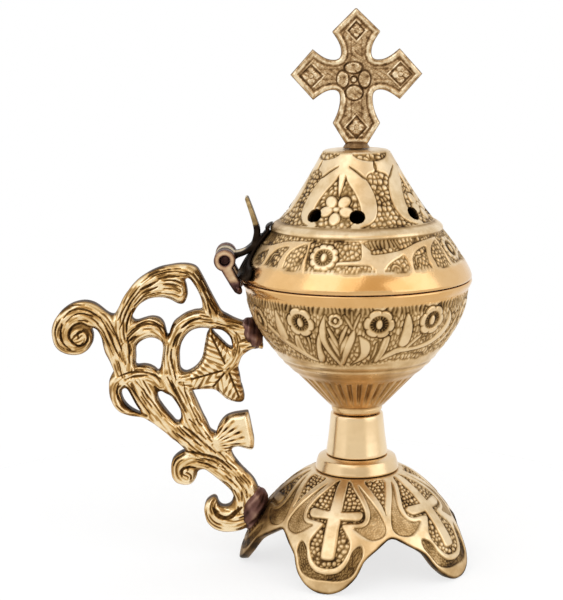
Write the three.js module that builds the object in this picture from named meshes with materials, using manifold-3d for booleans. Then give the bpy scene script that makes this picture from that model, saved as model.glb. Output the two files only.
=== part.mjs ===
// A hand-held brass censer: a lobed foot, a turned stem and a bowl held by one tie rod, a pierced lid
// with a cross finial on a hinge, and a flat cast scroll handle. Millimetres, +Z up, stands on z = 0.
import * as THREE from 'three';
import { mergeVertices } from 'three/addons/utils/BufferGeometryUtils.js';
import Module from 'manifold-3d';

const wasm = await Module();
wasm.setup();

// Clearance between two pieces that touch
const fit = 0.3;

// Facets round the large turned pieces, and round one lobe of the foot
const roundFacets = 48;
const lobeFacets = 12;

// Foot: a thin dome on lobes, with an arch between each two
const footHeight = 29.4;
const footRadius = 38;
const footWall = 2.2;
const hubRadius = 14.1;
const hubThickness = 3.2;
const lobeCount = 5;
const archHeight = 14;
const grooveDepth = 1.6;
const lipWidth = 3;
const lipRounding = 1.4;

// Collar and stem
const collarHeight = 4.6;
const collarRadius = 13.8;
const collarTopRadius = 11.7;
const stemHeight = 13.2;
const stemFootRadius = 9.8;
const stemTopRadius = 8.3;

// Bowl, from its foot ring up to the rim
const rimRadius = 36;
const bowlWall = 2.4;
const ringRadius = 7.6;
const ringHeight = 2.4;
const fluteFootRadius = 9;
const fluteTopRadius = 19;
const fluteHeight = 10.8;
const ledgeRadius = 20.9;
const ledgeHeight = 1.8;
const beadRadius = 0.9;
const beadBandHeight = 4.4;
const bellyFootRadius = 25.2;
const bellyTopInset = 1.1;
const bellyHeight = 20.8;
const rimBandHeight = 2.8;
const bowlFloorRise = 8;

// Lid, from the seam up to the crown
const lidWall = 2.2;
const lidBandHeight = 7.4;
const lidShoulderInset = 3.6;
const lidReliefHeight = 7.8;
const lidBeadFootRadius = 26.7;
const lidBeadTopRadius = 24.7;
const lidBeadHeight = 2.5;
const lidBeadBulge = 0.6;
const lidConeHeight = 21.4;
const lidTopRadius = 10.5;
const lidCrownRise = 0.9;
const lidMotifCount = 4;
const lidMotifTurn = -20.5;
const smokeHoleRadius = 2.35;
const smokeHoleRise = 3.7;
const smokeHoleSpread = 18.5;

// Tie rod, its washer and its nut
const rodRadius = 2.5;
const rodHeadRadius = 4.3;
const rodHeadHeight = 2.4;
const washerRadius = 6;
const washerThickness = 1;
const nutAcrossFlats = 8;
const nutThickness = 4;
const rodEnd = 1.5;

// Cross finial with its stud and nut
const crossReach = 20.6;
const crossCorner = 13.8;
const crossCornerHalf = 7.1;
const crossWaistHalf = 5;
const crossThickness = 3.2;
const crossRise = 21;
const crossNeckHalf = 3.2;
const crossFootRadius = 4.4;
const crossFootHeight = 3.6;
const studRadius = 1.8;
const studNutAcrossFlats = 6.4;
const studNutThickness = 2.4;
const studEnd = 0.8;

// Hinge between bowl and lid
const hingeReach = 5;
const hingeRise = 6.9;
const barrelRadius = 3.4;
const barrelLength = 18;
const earThickness = 4;
const pinRadius = 1.25;
const pinRecess = 1.4;
const bracketDrop = 3.4;
const bracketPlate = 1.3;
const leafPadThickness = 1.2;
const leafPadRise = 1;
const leafWingWidth = 26;
const leafWingHeight = 4.4;
const leafTongueLength = 16;
const leafWidth = 8.6;
const armThickness = 1.6;
const leverLength = 15.6;
const leverStandOff = 3.8;
const leverThickness = 1.8;

// Handle: where its two roots meet the body, and its thickness across
const lowerRootHeight = 16;
const upperRootRise = 27;
const handleThickness = 6.4;

// Radii that follow the rim
const bellyTopRadius = rimRadius - bellyTopInset;
const lidShoulderRadius = rimRadius - lidShoulderInset;

// Levels up the axis
const collarSeat = footHeight + fit;
const collarTop = collarSeat + collarHeight;
const stemSeat = collarTop + fit;
const stemTop = stemSeat + stemHeight;
const bowlSeat = stemTop + fit;
const fluteFoot = bowlSeat + ringHeight;
const fluteTop = fluteFoot + fluteHeight;
const beadFoot = fluteTop + ledgeHeight;
const bellyFoot = beadFoot + beadBandHeight;
const bellyTop = bellyFoot + bellyHeight;
const rimTop = bellyTop + rimBandHeight;
const bowlFloor = bowlSeat + bowlFloorRise;
const lidSeat = rimTop + fit;
const lidShoulder = lidSeat + lidBandHeight;
const lidBeadFoot = lidShoulder + lidReliefHeight;
const lidBeadTop = lidBeadFoot + lidBeadHeight;
const lidTop = lidBeadTop + lidConeHeight;
const crown = lidTop + lidCrownRise;
const crossSeat = crown + fit;
const crossCentre = crossSeat + crossRise;
const hubUnderside = footHeight - hubThickness;
const rodBore = rodRadius + fit;
const studBore = studRadius + fit;
const hingeX = -(rimRadius + hingeReach);
const hingeZ = rimTop + hingeRise;
const fullTurn = Math.PI * 2;

// Shape helpers

const lerp = (a, b, t) => a + (b - a) * t;
const clamp01 = (t) => Math.min(1, Math.max(0, t));
const steps = (count) => Array.from({ length: count + 1 }, (_, i) => i / count);

// One closed mesh with shared corners, no empty triangles, and its faces pointing out
function welded(geometry) {
  const bare = geometry.index ? geometry.toNonIndexed() : geometry.clone();
  bare.deleteAttribute('normal');
  bare.deleteAttribute('uv');
  const merged = mergeVertices(bare, 1e-4);
  const corner = merged.index.array;
  const at = merged.getAttribute('position');
  const kept = [];
  let volume = 0;
  const a = new THREE.Vector3();
  const b = new THREE.Vector3();
  const c = new THREE.Vector3();
  for (let i = 0; i < corner.length; i += 3) {
    const [p, q, r] = [corner[i], corner[i + 1], corner[i + 2]];
    if (p === q || q === r || r === p) continue;
    kept.push(p, q, r);
    a.fromBufferAttribute(at, p);
    b.fromBufferAttribute(at, q);
    c.fromBufferAttribute(at, r);
    volume += a.dot(b.cross(c));
  }
  if (volume < 0) kept.reverse();
  const result = new THREE.BufferGeometry();
  result.setAttribute('position', at);
  result.setIndex(kept);
  return result;
}

function solidOf(geometry) {
  const closed = welded(geometry);
  return new wasm.Manifold(new wasm.Mesh({
    numProp: 3,
    vertProperties: new Float32Array(closed.getAttribute('position').array),
    triVerts: new Uint32Array(closed.index.array),
  }));
}

function geometryOf(solid) {
  const data = solid.getMesh();
  const result = new THREE.BufferGeometry();
  result.setAttribute('position', new THREE.BufferAttribute(new Float32Array(data.vertProperties), 3));
  result.setIndex(new THREE.BufferAttribute(new Uint32Array(data.triVerts), 1));
  return result;
}

const joined = (solids) => solids.reduce((sum, next) => sum.add(next));

// A profile of [radius, height] points turned about the upright axis
function turned(profile, segments = 64) {
  const points = profile.map(([r, z]) => new THREE.Vector2(r, z));
  const closes = profile[0][0] > 0;
  if (closes) points.push(points[0].clone());
  return new THREE.LatheGeometry(points, segments).rotateX(Math.PI / 2);
}

// A closed skin from rows of (angle) => [radius, height]. The last row meets the first, unless both are
// poles.
function lobed(rows, segments) {
  const position = [];
  const index = [];
  for (const row of rows) {
    for (let i = 0; i < segments; i += 1) {
      const angle = (i / segments) * fullTurn;
      const [r, z] = row(angle);
      position.push(r * Math.cos(angle), r * Math.sin(angle), z);
    }
  }
  const poles = rows[0](0)[0] === 0;
  const bands = poles ? rows.length - 1 : rows.length;
  for (let j = 0; j < bands; j += 1) {
    const here = j * segments;
    const next = ((j + 1) % rows.length) * segments;
    for (let i = 0; i < segments; i += 1) {
      const k = (i + 1) % segments;
      index.push(here + i, next + i, next + k, here + i, next + k, here + k);
    }
  }
  const result = new THREE.BufferGeometry();
  result.setAttribute('position', new THREE.Float32BufferAttribute(position, 3));
  result.setIndex(index);
  return welded(result);
}

// The same open profile moved out along its own normals
function offsetProfile(profile, distance) {
  return profile.map(([r, z], i) => {
    const [r0, z0] = profile[Math.max(0, i - 1)];
    const [r1, z1] = profile[Math.min(profile.length - 1, i + 1)];
    const length = Math.hypot(r1 - r0, z1 - z0) || 1;
    return [Math.max(0, r + ((z1 - z0) / length) * distance), z - ((r1 - r0) / length) * distance];
  });
}

// Radius of an upward profile at a height
function radiusAt(profile, z) {
  const i = Math.max(1, profile.findIndex(([, height]) => height >= z));
  const [[r0, z0], [r1, z1]] = [profile[i - 1], profile[i]];
  return lerp(r0, r1, clamp01((z - z0) / (z1 - z0)));
}

// A flat outline in X and Z, extruded across Y and centred on it
function slab(shape, thickness, bevel = 0) {
  const depth = thickness - 2 * bevel;
  const geometry = new THREE.ExtrudeGeometry(shape, {
    depth, bevelEnabled: bevel > 0, bevelThickness: bevel, bevelSize: bevel, bevelOffset: -bevel,
    bevelSegments: 1, curveSegments: 8,
  });
  return geometry.translate(0, 0, -depth / 2).rotateX(Math.PI / 2);
}

function hexNut(acrossFlats, thickness, bore, top) {
  const shape = new THREE.Shape();
  const reach = acrossFlats / Math.sqrt(3);
  for (let i = 0; i < 6; i += 1) {
    const angle = (i * Math.PI) / 3;
    shape[i ? 'lineTo' : 'moveTo'](reach * Math.cos(angle), reach * Math.sin(angle));
  }
  shape.holes.push(new THREE.Path().absarc(0, 0, bore, 0, fullTurn, true));
  return new THREE.ExtrudeGeometry(shape, { depth: thickness, bevelEnabled: false, curveSegments: 12 })
    .translate(0, 0, top - thickness);
}

// A cast strand: an oval tube with rounded ends along a smooth curve through [x, z, half width] points
function strand(points, halfThickness, sides = 6, perPoint = 2) {
  const curve = new THREE.CatmullRomCurve3(points.map(([x, z]) => new THREE.Vector3(x, 0, z)), false,
    'centripetal');
  const width = new THREE.CatmullRomCurve3(points.map(([, , w], i) => new THREE.Vector3(i, w, 0)));
  const body = steps((points.length - 1) * perPoint).map((t) => ({ t, share: 1, past: 0 }));
  const rings = [{ t: 0, share: 0.5, past: -0.5 }, ...body, { t: 1, share: 0.5, past: 0.5 }];
  const position = [];
  for (const { t, share, past } of rings) {
    const centre = curve.getPoint(t);
    const along = curve.getTangent(t);
    const half = width.getPoint(t).y;
    const thick = Math.min(halfThickness, half * 0.7 + 0.9);
    for (let s = 0; s < sides; s += 1) {
      const angle = ((s + 0.5) / sides) * fullTurn;
      const across = Math.cos(angle) * half * share;
      position.push(centre.x - along.z * across + along.x * half * past, Math.sin(angle) * thick * share,
        centre.z + along.x * across + along.z * half * past);
    }
  }
  const index = [];
  const last = (rings.length - 1) * sides;
  for (let ring = 0; ring < last; ring += sides) {
    for (let s = 0; s < sides; s += 1) {
      const n = (s + 1) % sides;
      index.push(ring + s, ring + sides + s, ring + sides + n, ring + s, ring + sides + n, ring + n);
    }
  }
  for (let s = 1; s < sides - 1; s += 1) {
    index.push(0, s, s + 1);
    index.push(last, last + s + 1, last + s);
  }
  const result = new THREE.BufferGeometry();
  result.setAttribute('position', new THREE.Float32BufferAttribute(position, 3));
  result.setIndex(index);
  return solidOf(result);
}

// Materials

const brass = (color, roughness) => new THREE.MeshStandardMaterial({ color, roughness, metalness: 1 });
const castBrass = brass(0xb79255, 0.42);
const polishedBrass = brass(0xe2bf85, 0.22);
const agedBrass = brass(0x8d6b3c, 0.5);
const handleBrass = brass(0xc59a4e, 0.4);
const steel = new THREE.MeshStandardMaterial({ color: 0x8b8a86, roughness: 0.45, metalness: 1 });

const censer = new THREE.Group();
function place(name, geometry, material) {
  const mesh = new THREE.Mesh(geometry, material);
  mesh.name = name;
  censer.add(mesh);
}

// Foot. The lobes lie at equal angles, one of them under the handle, which is at -X.

const domePower = 1.54;
const domeFullness = 1.35;
const domeRadius = (z) => hubRadius
  + (footRadius - hubRadius) * (1 - clamp01(z / footHeight) ** domePower) ** (1 / domeFullness);

// 0 on a lobe's middle line, 1 half way to the next lobe
function fromLobe(angle) {
  const turn = (((angle - Math.PI) * lobeCount) / fullTurn) % 1;
  return 2 * Math.abs(turn - Math.round(turn));
}
const flatShare = 0.04;
function archAt(angle) {
  const wave = (1 - Math.cos(Math.PI * clamp01((fromLobe(angle) - 0.055) / 0.945))) / 2;
  return archHeight * Math.max(0, wave - flatShare) / (1 - flatShare);
}
const grooveAt = (angle, z) => grooveDepth
  * ((1 - Math.cos(Math.PI * fromLobe(angle))) / 2) ** 1.5
  * clamp01((footHeight - z) / (footHeight - archHeight));
const footOutside = (angle, z) => domeRadius(z) - grooveAt(angle, z);

function footRows() {
  const rows = [
    () => [rodBore, footHeight],
    () => [hubRadius, footHeight],
  ];
  for (const t of steps(7).slice(1)) {
    rows.push((angle) => {
      const low = archAt(angle) + lipRounding;
      const z = lerp(low, footHeight, (1 - t) ** 1.25);
      return [footOutside(angle, z), z];
    });
  }
  const edge = (angle) => footOutside(angle, archAt(angle) + lipRounding);
  rows.push((angle) => [edge(angle) - lipRounding * 0.7, archAt(angle)]);
  rows.push((angle) => [edge(angle) - lipWidth, archAt(angle)]);
  for (const t of steps(4)) {
    rows.push((angle) => {
      const low = archAt(angle) + footWall;
      const z = lerp(low, hubUnderside, t);
      return [footOutside(angle, z + footWall * 0.75) - footWall * 0.85 - (1 - t) * 0.4, z];
    });
  }
  rows.push(() => [rodBore, hubUnderside]);
  return rows;
}
place('foot', lobed(footRows(), lobeCount * lobeFacets), castBrass);

// The foot's outside as a filled solid, swollen by a clearance, to cut what is brazed to it
function footBlank(clearance) {
  const rows = [() => [0, footHeight + clearance], () => [hubRadius, footHeight + clearance]];
  for (const t of steps(7).slice(1)) {
    rows.push((angle) => {
      const z = lerp(archAt(angle), footHeight, (1 - t) ** 1.25);
      return [footOutside(angle, z) + clearance, z + clearance * 0.5];
    });
  }
  rows.push((angle) => [footOutside(angle, archAt(angle)) + clearance, -2 * lipWidth]);
  rows.push(() => [0, -2 * lipWidth]);
  return solidOf(lobed(rows, lobeCount * lobeFacets));
}

// Collar and stem, both bored for the tie rod

place('collar', turned([
  [rodBore, collarSeat], [collarRadius, collarSeat], [collarRadius - 0.2, collarSeat + 0.5],
  [lerp(collarRadius, collarTopRadius, 0.55), collarSeat + collarHeight * 0.5],
  [collarTopRadius, collarTop - 0.5], [collarTopRadius - 0.4, collarTop], [rodBore, collarTop],
], 36), polishedBrass);

place('stem', turned([
  [rodBore, stemSeat], [stemFootRadius, stemSeat],
  [lerp(stemFootRadius, stemTopRadius, 0.5) - 0.15, lerp(stemSeat, stemTop, 0.5)],
  [stemTopRadius, stemTop - 0.3], [stemTopRadius - 0.3, stemTop], [rodBore, stemTop],
], 36), polishedBrass);

// Bowl. Its outside runs up the foot ring, the fluted cone, a ledge, two bead rings, the belly and the rim.

const bellyFullness = 1.85;
const bellyRadius = (t) => lerp(bellyFootRadius, bellyTopRadius, 1 - (1 - t) ** bellyFullness);

function bowlOutside(plain) {
  const profile = [[ringRadius, bowlSeat], [ringRadius + 0.35, bowlSeat + ringHeight * 0.45],
    [ringRadius + 0.2, fluteFoot]];
  for (const t of steps(1)) {
    profile.push([lerp(fluteFootRadius, fluteTopRadius, t), lerp(fluteFoot, fluteTop, t) + 0.2]);
  }
  profile.push([ledgeRadius, lerp(fluteTop, beadFoot, 0.45)], [ledgeRadius + 0.2, beadFoot]);
  const beadSlope = (bellyFootRadius - ledgeRadius) / beadBandHeight;
  const tilt = Math.atan(beadSlope);
  for (const centre of plain ? [] : [0.3, 0.72]) {
    const r = lerp(ledgeRadius, bellyFootRadius, centre);
    const z = lerp(beadFoot, bellyFoot, centre);
    for (const turn of [-70, 0, 70]) {
      const angle = (turn * Math.PI) / 180 - tilt;
      profile.push([r + beadRadius * Math.cos(angle), z + beadRadius * Math.sin(angle)]);
    }
  }
  for (const t of steps(5)) profile.push([bellyRadius(t), lerp(bellyFoot, bellyTop, t)]);
  profile.push([lerp(bellyTopRadius, rimRadius, 0.6), bellyTop + 0.5]);
  profile.push([rimRadius, lerp(bellyTop, rimTop, 0.6)], [rimRadius, rimTop]);
  return profile;
}

const bowlPlain = bowlOutside(true);
const bowlInside = offsetProfile(bowlPlain, -bowlWall)
  .filter(([, z]) => z > bowlFloor + 1.2 && z < rimTop - bowlWall)
  .reverse();
const bowlFloorRadius = radiusAt(bowlPlain, bowlFloor) - bowlWall * 1.3;

place('bowl', turned([
  [rodBore, bowlSeat], ...bowlOutside(false),
  [rimRadius - bowlWall, rimTop], ...bowlInside,
  [bowlFloorRadius, bowlFloor], [rodBore, bowlFloor],
], roundFacets), castBrass);

const bowlBlank = (clearance) => solidOf(turned([
  [0, bowlSeat - clearance], ...offsetProfile(bowlPlain, clearance), [0, rimTop + clearance],
], roundFacets));

// Tie rod: its head lies in the bowl, its nut and washer under the foot

const washerTop = hubUnderside - fit;
const nutTop = washerTop - washerThickness - fit;
const rodFoot = nutTop - nutThickness - rodEnd;
const headSeat = bowlFloor + fit;
place('tie_rod', turned([
  [0, rodFoot], [rodRadius - 0.4, rodFoot], [rodRadius, rodFoot + 0.5], [rodRadius, headSeat],
  [rodHeadRadius, headSeat], [rodHeadRadius, headSeat + rodHeadHeight * 0.4],
  [rodHeadRadius * 0.62, headSeat + rodHeadHeight * 0.88], [0, headSeat + rodHeadHeight],
], 24), steel);
place('tie_rod_washer', turned([
  [rodBore, washerTop - washerThickness], [washerRadius, washerTop - washerThickness],
  [washerRadius, washerTop], [rodBore, washerTop],
], 28), steel);
place('tie_rod_nut', hexNut(nutAcrossFlats, nutThickness, rodBore, nutTop), steel);

// Lid

const lidBandRadius = (t) => lerp(rimRadius, lidShoulderRadius, t ** 1.4);
const coneShare = (z) => clamp01((z - lidBeadTop) / lidConeHeight);
const coneRadius = (z) => lerp(lidBeadTopRadius, lidTopRadius, coneShare(z) ** 0.84);
const lidOutside = [
  ...steps(3).map((t) => [lidBandRadius(t), lerp(lidSeat, lidShoulder, t)]),
  [lerp(lidShoulderRadius, lidBeadFootRadius, 0.5) + 0.2, lerp(lidShoulder, lidBeadFoot, 0.5)],
  [lidBeadFootRadius, lidBeadFoot],
  [lerp(lidBeadFootRadius, lidBeadTopRadius, 0.25) + lidBeadBulge, lerp(lidBeadFoot, lidBeadTop, 0.25)],
  [lerp(lidBeadFootRadius, lidBeadTopRadius, 0.75) + lidBeadBulge, lerp(lidBeadFoot, lidBeadTop, 0.75)],
  ...steps(4).map((t) => lerp(lidBeadTop, lidTop, t)).map((z) => [coneRadius(z), z]),
  [lidTopRadius - 0.9, lidTop + lidCrownRise * 0.6],
  [lidTopRadius * 0.6, crown],
];
const lidCeiling = lidTop - lidWall;
const lidInside = [
  ...steps(2).map((t) => [lidBandRadius(t) - lidWall, lerp(lidSeat, lidShoulder - lidWall * 0.6, t)]),
  [lidBeadFootRadius - lidWall * 0.8, lidBeadFoot - lidWall * 0.8],
  ...steps(2).map((t) => lerp(lidBeadTop - lidWall * 0.5, lidCeiling, t))
    .map((z) => [coneRadius(z) - lidWall * 1.2, z]),
].reverse();
const lidShell = solidOf(turned([
  [studBore, lidCeiling], ...lidInside, ...lidOutside, [studBore, crown],
], roundFacets));

const holeHeight = lidBeadTop + smokeHoleRise;
const holeTilt = Math.atan2(coneRadius(holeHeight - 1) - coneRadius(holeHeight + 1), 2);
const degrees = Math.PI / 180;
const smokeHoles = [];
for (let motif = 0; motif < lidMotifCount; motif += 1) {
  for (const side of [-1, 1]) {
    const around = lidMotifTurn - 90 + (motif * 360) / lidMotifCount + side * smokeHoleSpread;
    const drill = new THREE.CylinderGeometry(smokeHoleRadius, smokeHoleRadius, lidWall * 5, 14);
    drill.rotateZ(holeTilt - Math.PI / 2).rotateX(Math.PI / 2);
    drill.translate(coneRadius(holeHeight), 0, holeHeight).rotateZ(around * degrees);
    smokeHoles.push(solidOf(drill));
  }
}
place('lid', geometryOf(lidShell.subtract(joined(smokeHoles))), castBrass);

// The lid's outside as a filled solid, swollen by a clearance, to cut what is brazed to it
const lidBlank = (clearance) => solidOf(turned([
  [0, lidSeat - clearance], [rimRadius + clearance, lidSeat - clearance],
  ...offsetProfile(lidOutside, clearance), [0, crown + clearance],
], roundFacets));

// Cross finial: four like arms with pointed ends, on a round flared foot with a stud through the crown

function crossOutline() {
  const arm = new THREE.Shape();
  const turn = (x, z, quarter) => {
    const [c, s] = [[1, 0], [0, -1], [-1, 0], [0, 1]][quarter];
    return [x * c - z * s, x * s + z * c];
  };
  const waist = crossCorner * 0.56;
  for (let quarter = 0; quarter < 4; quarter += 1) {
    const p = (x, z) => turn(x, z, quarter);
    arm[quarter ? 'lineTo' : 'moveTo'](...p(0, crossReach));
    arm.lineTo(...p(crossCornerHalf, crossCorner));
    arm.bezierCurveTo(...p(crossWaistHalf + 0.5, crossCorner * 0.8), ...p(crossWaistHalf, crossCorner * 0.7),
      ...p(crossWaistHalf, waist));
    arm.quadraticCurveTo(...p(crossWaistHalf, crossWaistHalf), ...p(waist, crossWaistHalf));
    arm.bezierCurveTo(...p(crossCorner * 0.7, crossWaistHalf), ...p(crossCorner * 0.8, crossWaistHalf + 0.5),
      ...p(crossCorner, crossCornerHalf));
  }
  arm.closePath();
  return arm;
}
const crossPlate = solidOf(slab(crossOutline(), crossThickness, 0.5).translate(0, 0, crossCentre));
const studFoot = lidCeiling - 2 * fit - studNutThickness - studEnd;
const crossFoot = solidOf(turned([
  [0, studFoot], [studRadius, studFoot], [studRadius, crossSeat], [crossFootRadius, crossSeat],
  [crossFootRadius - 0.1, crossSeat + 0.7], [crossNeckHalf, crossSeat + crossFootHeight * 0.75],
  [crossNeckHalf, crossSeat + crossFootHeight], [0, crossSeat + crossFootHeight + crossNeckHalf],
], 24));
const belowSeat = solidOf(new THREE.BoxGeometry(2 * crossReach, 2 * crossReach, 2 * crossReach)
  .translate(0, 0, crossSeat + crossFootHeight * 0.5 - crossReach));
place('cross_finial', geometryOf(crossPlate.subtract(belowSeat).add(crossFoot)), agedBrass);
place('finial_nut', hexNut(studNutAcrossFlats, studNutThickness, studBore, lidCeiling - fit), steel);

// Hinge. The bracket is a fork brazed to the bowl; the leaf is brazed to the lid and carries the thumb lever.

const onHinge = (radius, length, sides) => new THREE.CylinderGeometry(radius, radius, length, sides)
  .translate(hingeX, 0, hingeZ);
const pinBore = solidOf(onHinge(pinRadius + fit, 2 * barrelLength, 20));

const bracketFoot = rimTop - bracketDrop;
const bracketTop = rimTop - fit;
const inBowl = -(rimRadius - bowlWall);
function earOutline() {
  const shape = new THREE.Shape();
  const face = -(rimRadius + bracketPlate);
  shape.absarc(hingeX, hingeZ, barrelRadius, -0.5, Math.PI * 1.28, false);
  shape.bezierCurveTo(hingeX + 0.3, hingeZ - barrelRadius * 1.2, face - 1.7,
    lerp(bracketFoot, bracketTop, 0.9), face + 0.2, bracketFoot);
  shape.lineTo(inBowl, bracketFoot);
  shape.lineTo(inBowl, bracketTop);
  shape.lineTo(face, bracketTop);
  shape.closePath();
  return shape;
}
const earOffset = (barrelLength - earThickness) / 2;
const ears = [-1, 1].map((side) => solidOf(slab(earOutline(), earThickness)
  .translate(0, side * earOffset, 0)));
const webHeight = bracketDrop - fit;
const webDepth = bracketPlate + bowlWall + fit;
const web = solidOf(new THREE.BoxGeometry(webDepth, barrelLength - earThickness, webHeight)
  .translate(-(rimRadius + (bracketPlate - bowlWall - fit) / 2), 0, bracketFoot + webHeight / 2));
const bracket = joined([...ears, web]).subtract(pinBore).subtract(bowlBlank(fit));
place('hinge_bracket', geometryOf(bracket), agedBrass);

const pinLength = barrelLength - 2 * pinRecess;
place('hinge_pin', onHinge(pinRadius, pinLength, 20), steel);

// A strip of even depth along a curve of [x, z, half thickness] points
function strip(points, depth) {
  const curve = new THREE.CatmullRomCurve3(points.map(([x, z]) => new THREE.Vector3(x, z, 0)), false,
    'centripetal');
  const width = new THREE.CatmullRomCurve3(points.map(([, , w], i) => new THREE.Vector3(i, w, 0)));
  const edge = (side) => steps((points.length - 1) * 4).map((t) => {
    const at = curve.getPoint(t);
    const along = curve.getTangent(t);
    const half = width.getPoint(t).y * side;
    return new THREE.Vector2(at.x - along.y * half, at.y + along.x * half);
  });
  return solidOf(slab(new THREE.Shape([...edge(1), ...edge(-1).reverse()]), depth));
}

const knuckleLength = barrelLength - 2 * earThickness - 2 * fit;
const knuckle = solidOf(onHinge(barrelRadius - 0.2, knuckleLength, 28));
const armHeight = hingeZ + barrelRadius * 0.56;
const bendHeight = armHeight + 2;
const bendX = -(radiusAt(lidOutside, bendHeight) + leverStandOff * 0.4);
const thinArm = armThickness / 2;
const arm = strip([
  [hingeX + 0.6, armHeight - 0.3, thinArm + 0.3], [lerp(hingeX, bendX, 0.5), armHeight, thinArm],
  [lerp(hingeX, bendX, 0.85), armHeight + 0.5, thinArm], [bendX + 0.6, bendHeight, thinArm + 0.1],
  [bendX + 2.6, bendHeight + 1.6, thinArm],
], leafWidth);
const leverX = -(radiusAt(lidOutside, bendHeight + leverLength * 0.15) + leverStandOff * 0.65);
const lever = strip([
  [bendX, bendHeight - 0.8, leverThickness / 2],
  [leverX, bendHeight + leverLength * 0.14, leverThickness * 0.56],
  [leverX + 0.2, bendHeight + leverLength * 0.3, leverThickness / 2],
  [leverX - 0.5, bendHeight + leverLength * 0.48, leverThickness * 0.42],
  [leverX - 1.6, bendHeight + leverLength * 0.7, leverThickness * 0.36],
  [leverX - 2.9, bendHeight + leverLength, leverThickness * 0.28],
], leafWidth - 1.6);
function padOutline() {
  const low = lidSeat + leafPadRise;
  const wing = leafWingWidth / 2;
  const tongue = leafWidth / 2;
  const right = [[wing, low], [wing, low + leafWingHeight * 0.8], [wing * 0.7, low + leafWingHeight],
    [tongue, low + leafWingHeight * 1.7], [tongue * 0.85, low + leafTongueLength]];
  const left = right.map(([y, z]) => [-y, z]).reverse();
  return new THREE.Shape([...right, ...left].map(([y, z]) => new THREE.Vector2(y, z)));
}
const padBlank = new THREE.ExtrudeGeometry(padOutline(), { depth: rimRadius, bevelEnabled: false })
  .rotateX(Math.PI / 2).rotateZ(Math.PI / 2).translate(-1.5 * rimRadius, 0, 0);
const pad = solidOf(padBlank).intersect(lidBlank(leafPadThickness + fit));
const leaf = joined([knuckle, arm, lever, pad]).subtract(pinBore).subtract(lidBlank(fit));
place('lid_hinge_leaf', geometryOf(leaf), agedBrass);

// Handle. Its strands were drawn against a body whose lower root is at drawnLower and whose upper root is
// at drawnUpper, both [outward, height]. The drawing follows the body when those roots move.

const drawnLower = [30.6, 16];
const drawnUpper = [30.6, 75.1];
const upperRootHeight = bowlSeat + upperRootRise;
const lowerShift = [domeRadius(lowerRootHeight) - drawnLower[0], lowerRootHeight - drawnLower[1]];
const upperShift = [radiusAt(bowlPlain, upperRootHeight) - drawnUpper[0], upperRootHeight - drawnUpper[1]];
function onBody([outward, height, half]) {
  const share = clamp01((height - drawnLower[1]) / (drawnUpper[1] - drawnLower[1]));
  return [-(outward + lerp(lowerShift[0], upperShift[0], share)),
    height + lerp(lowerShift[1], upperShift[1], share), half];
}

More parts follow.
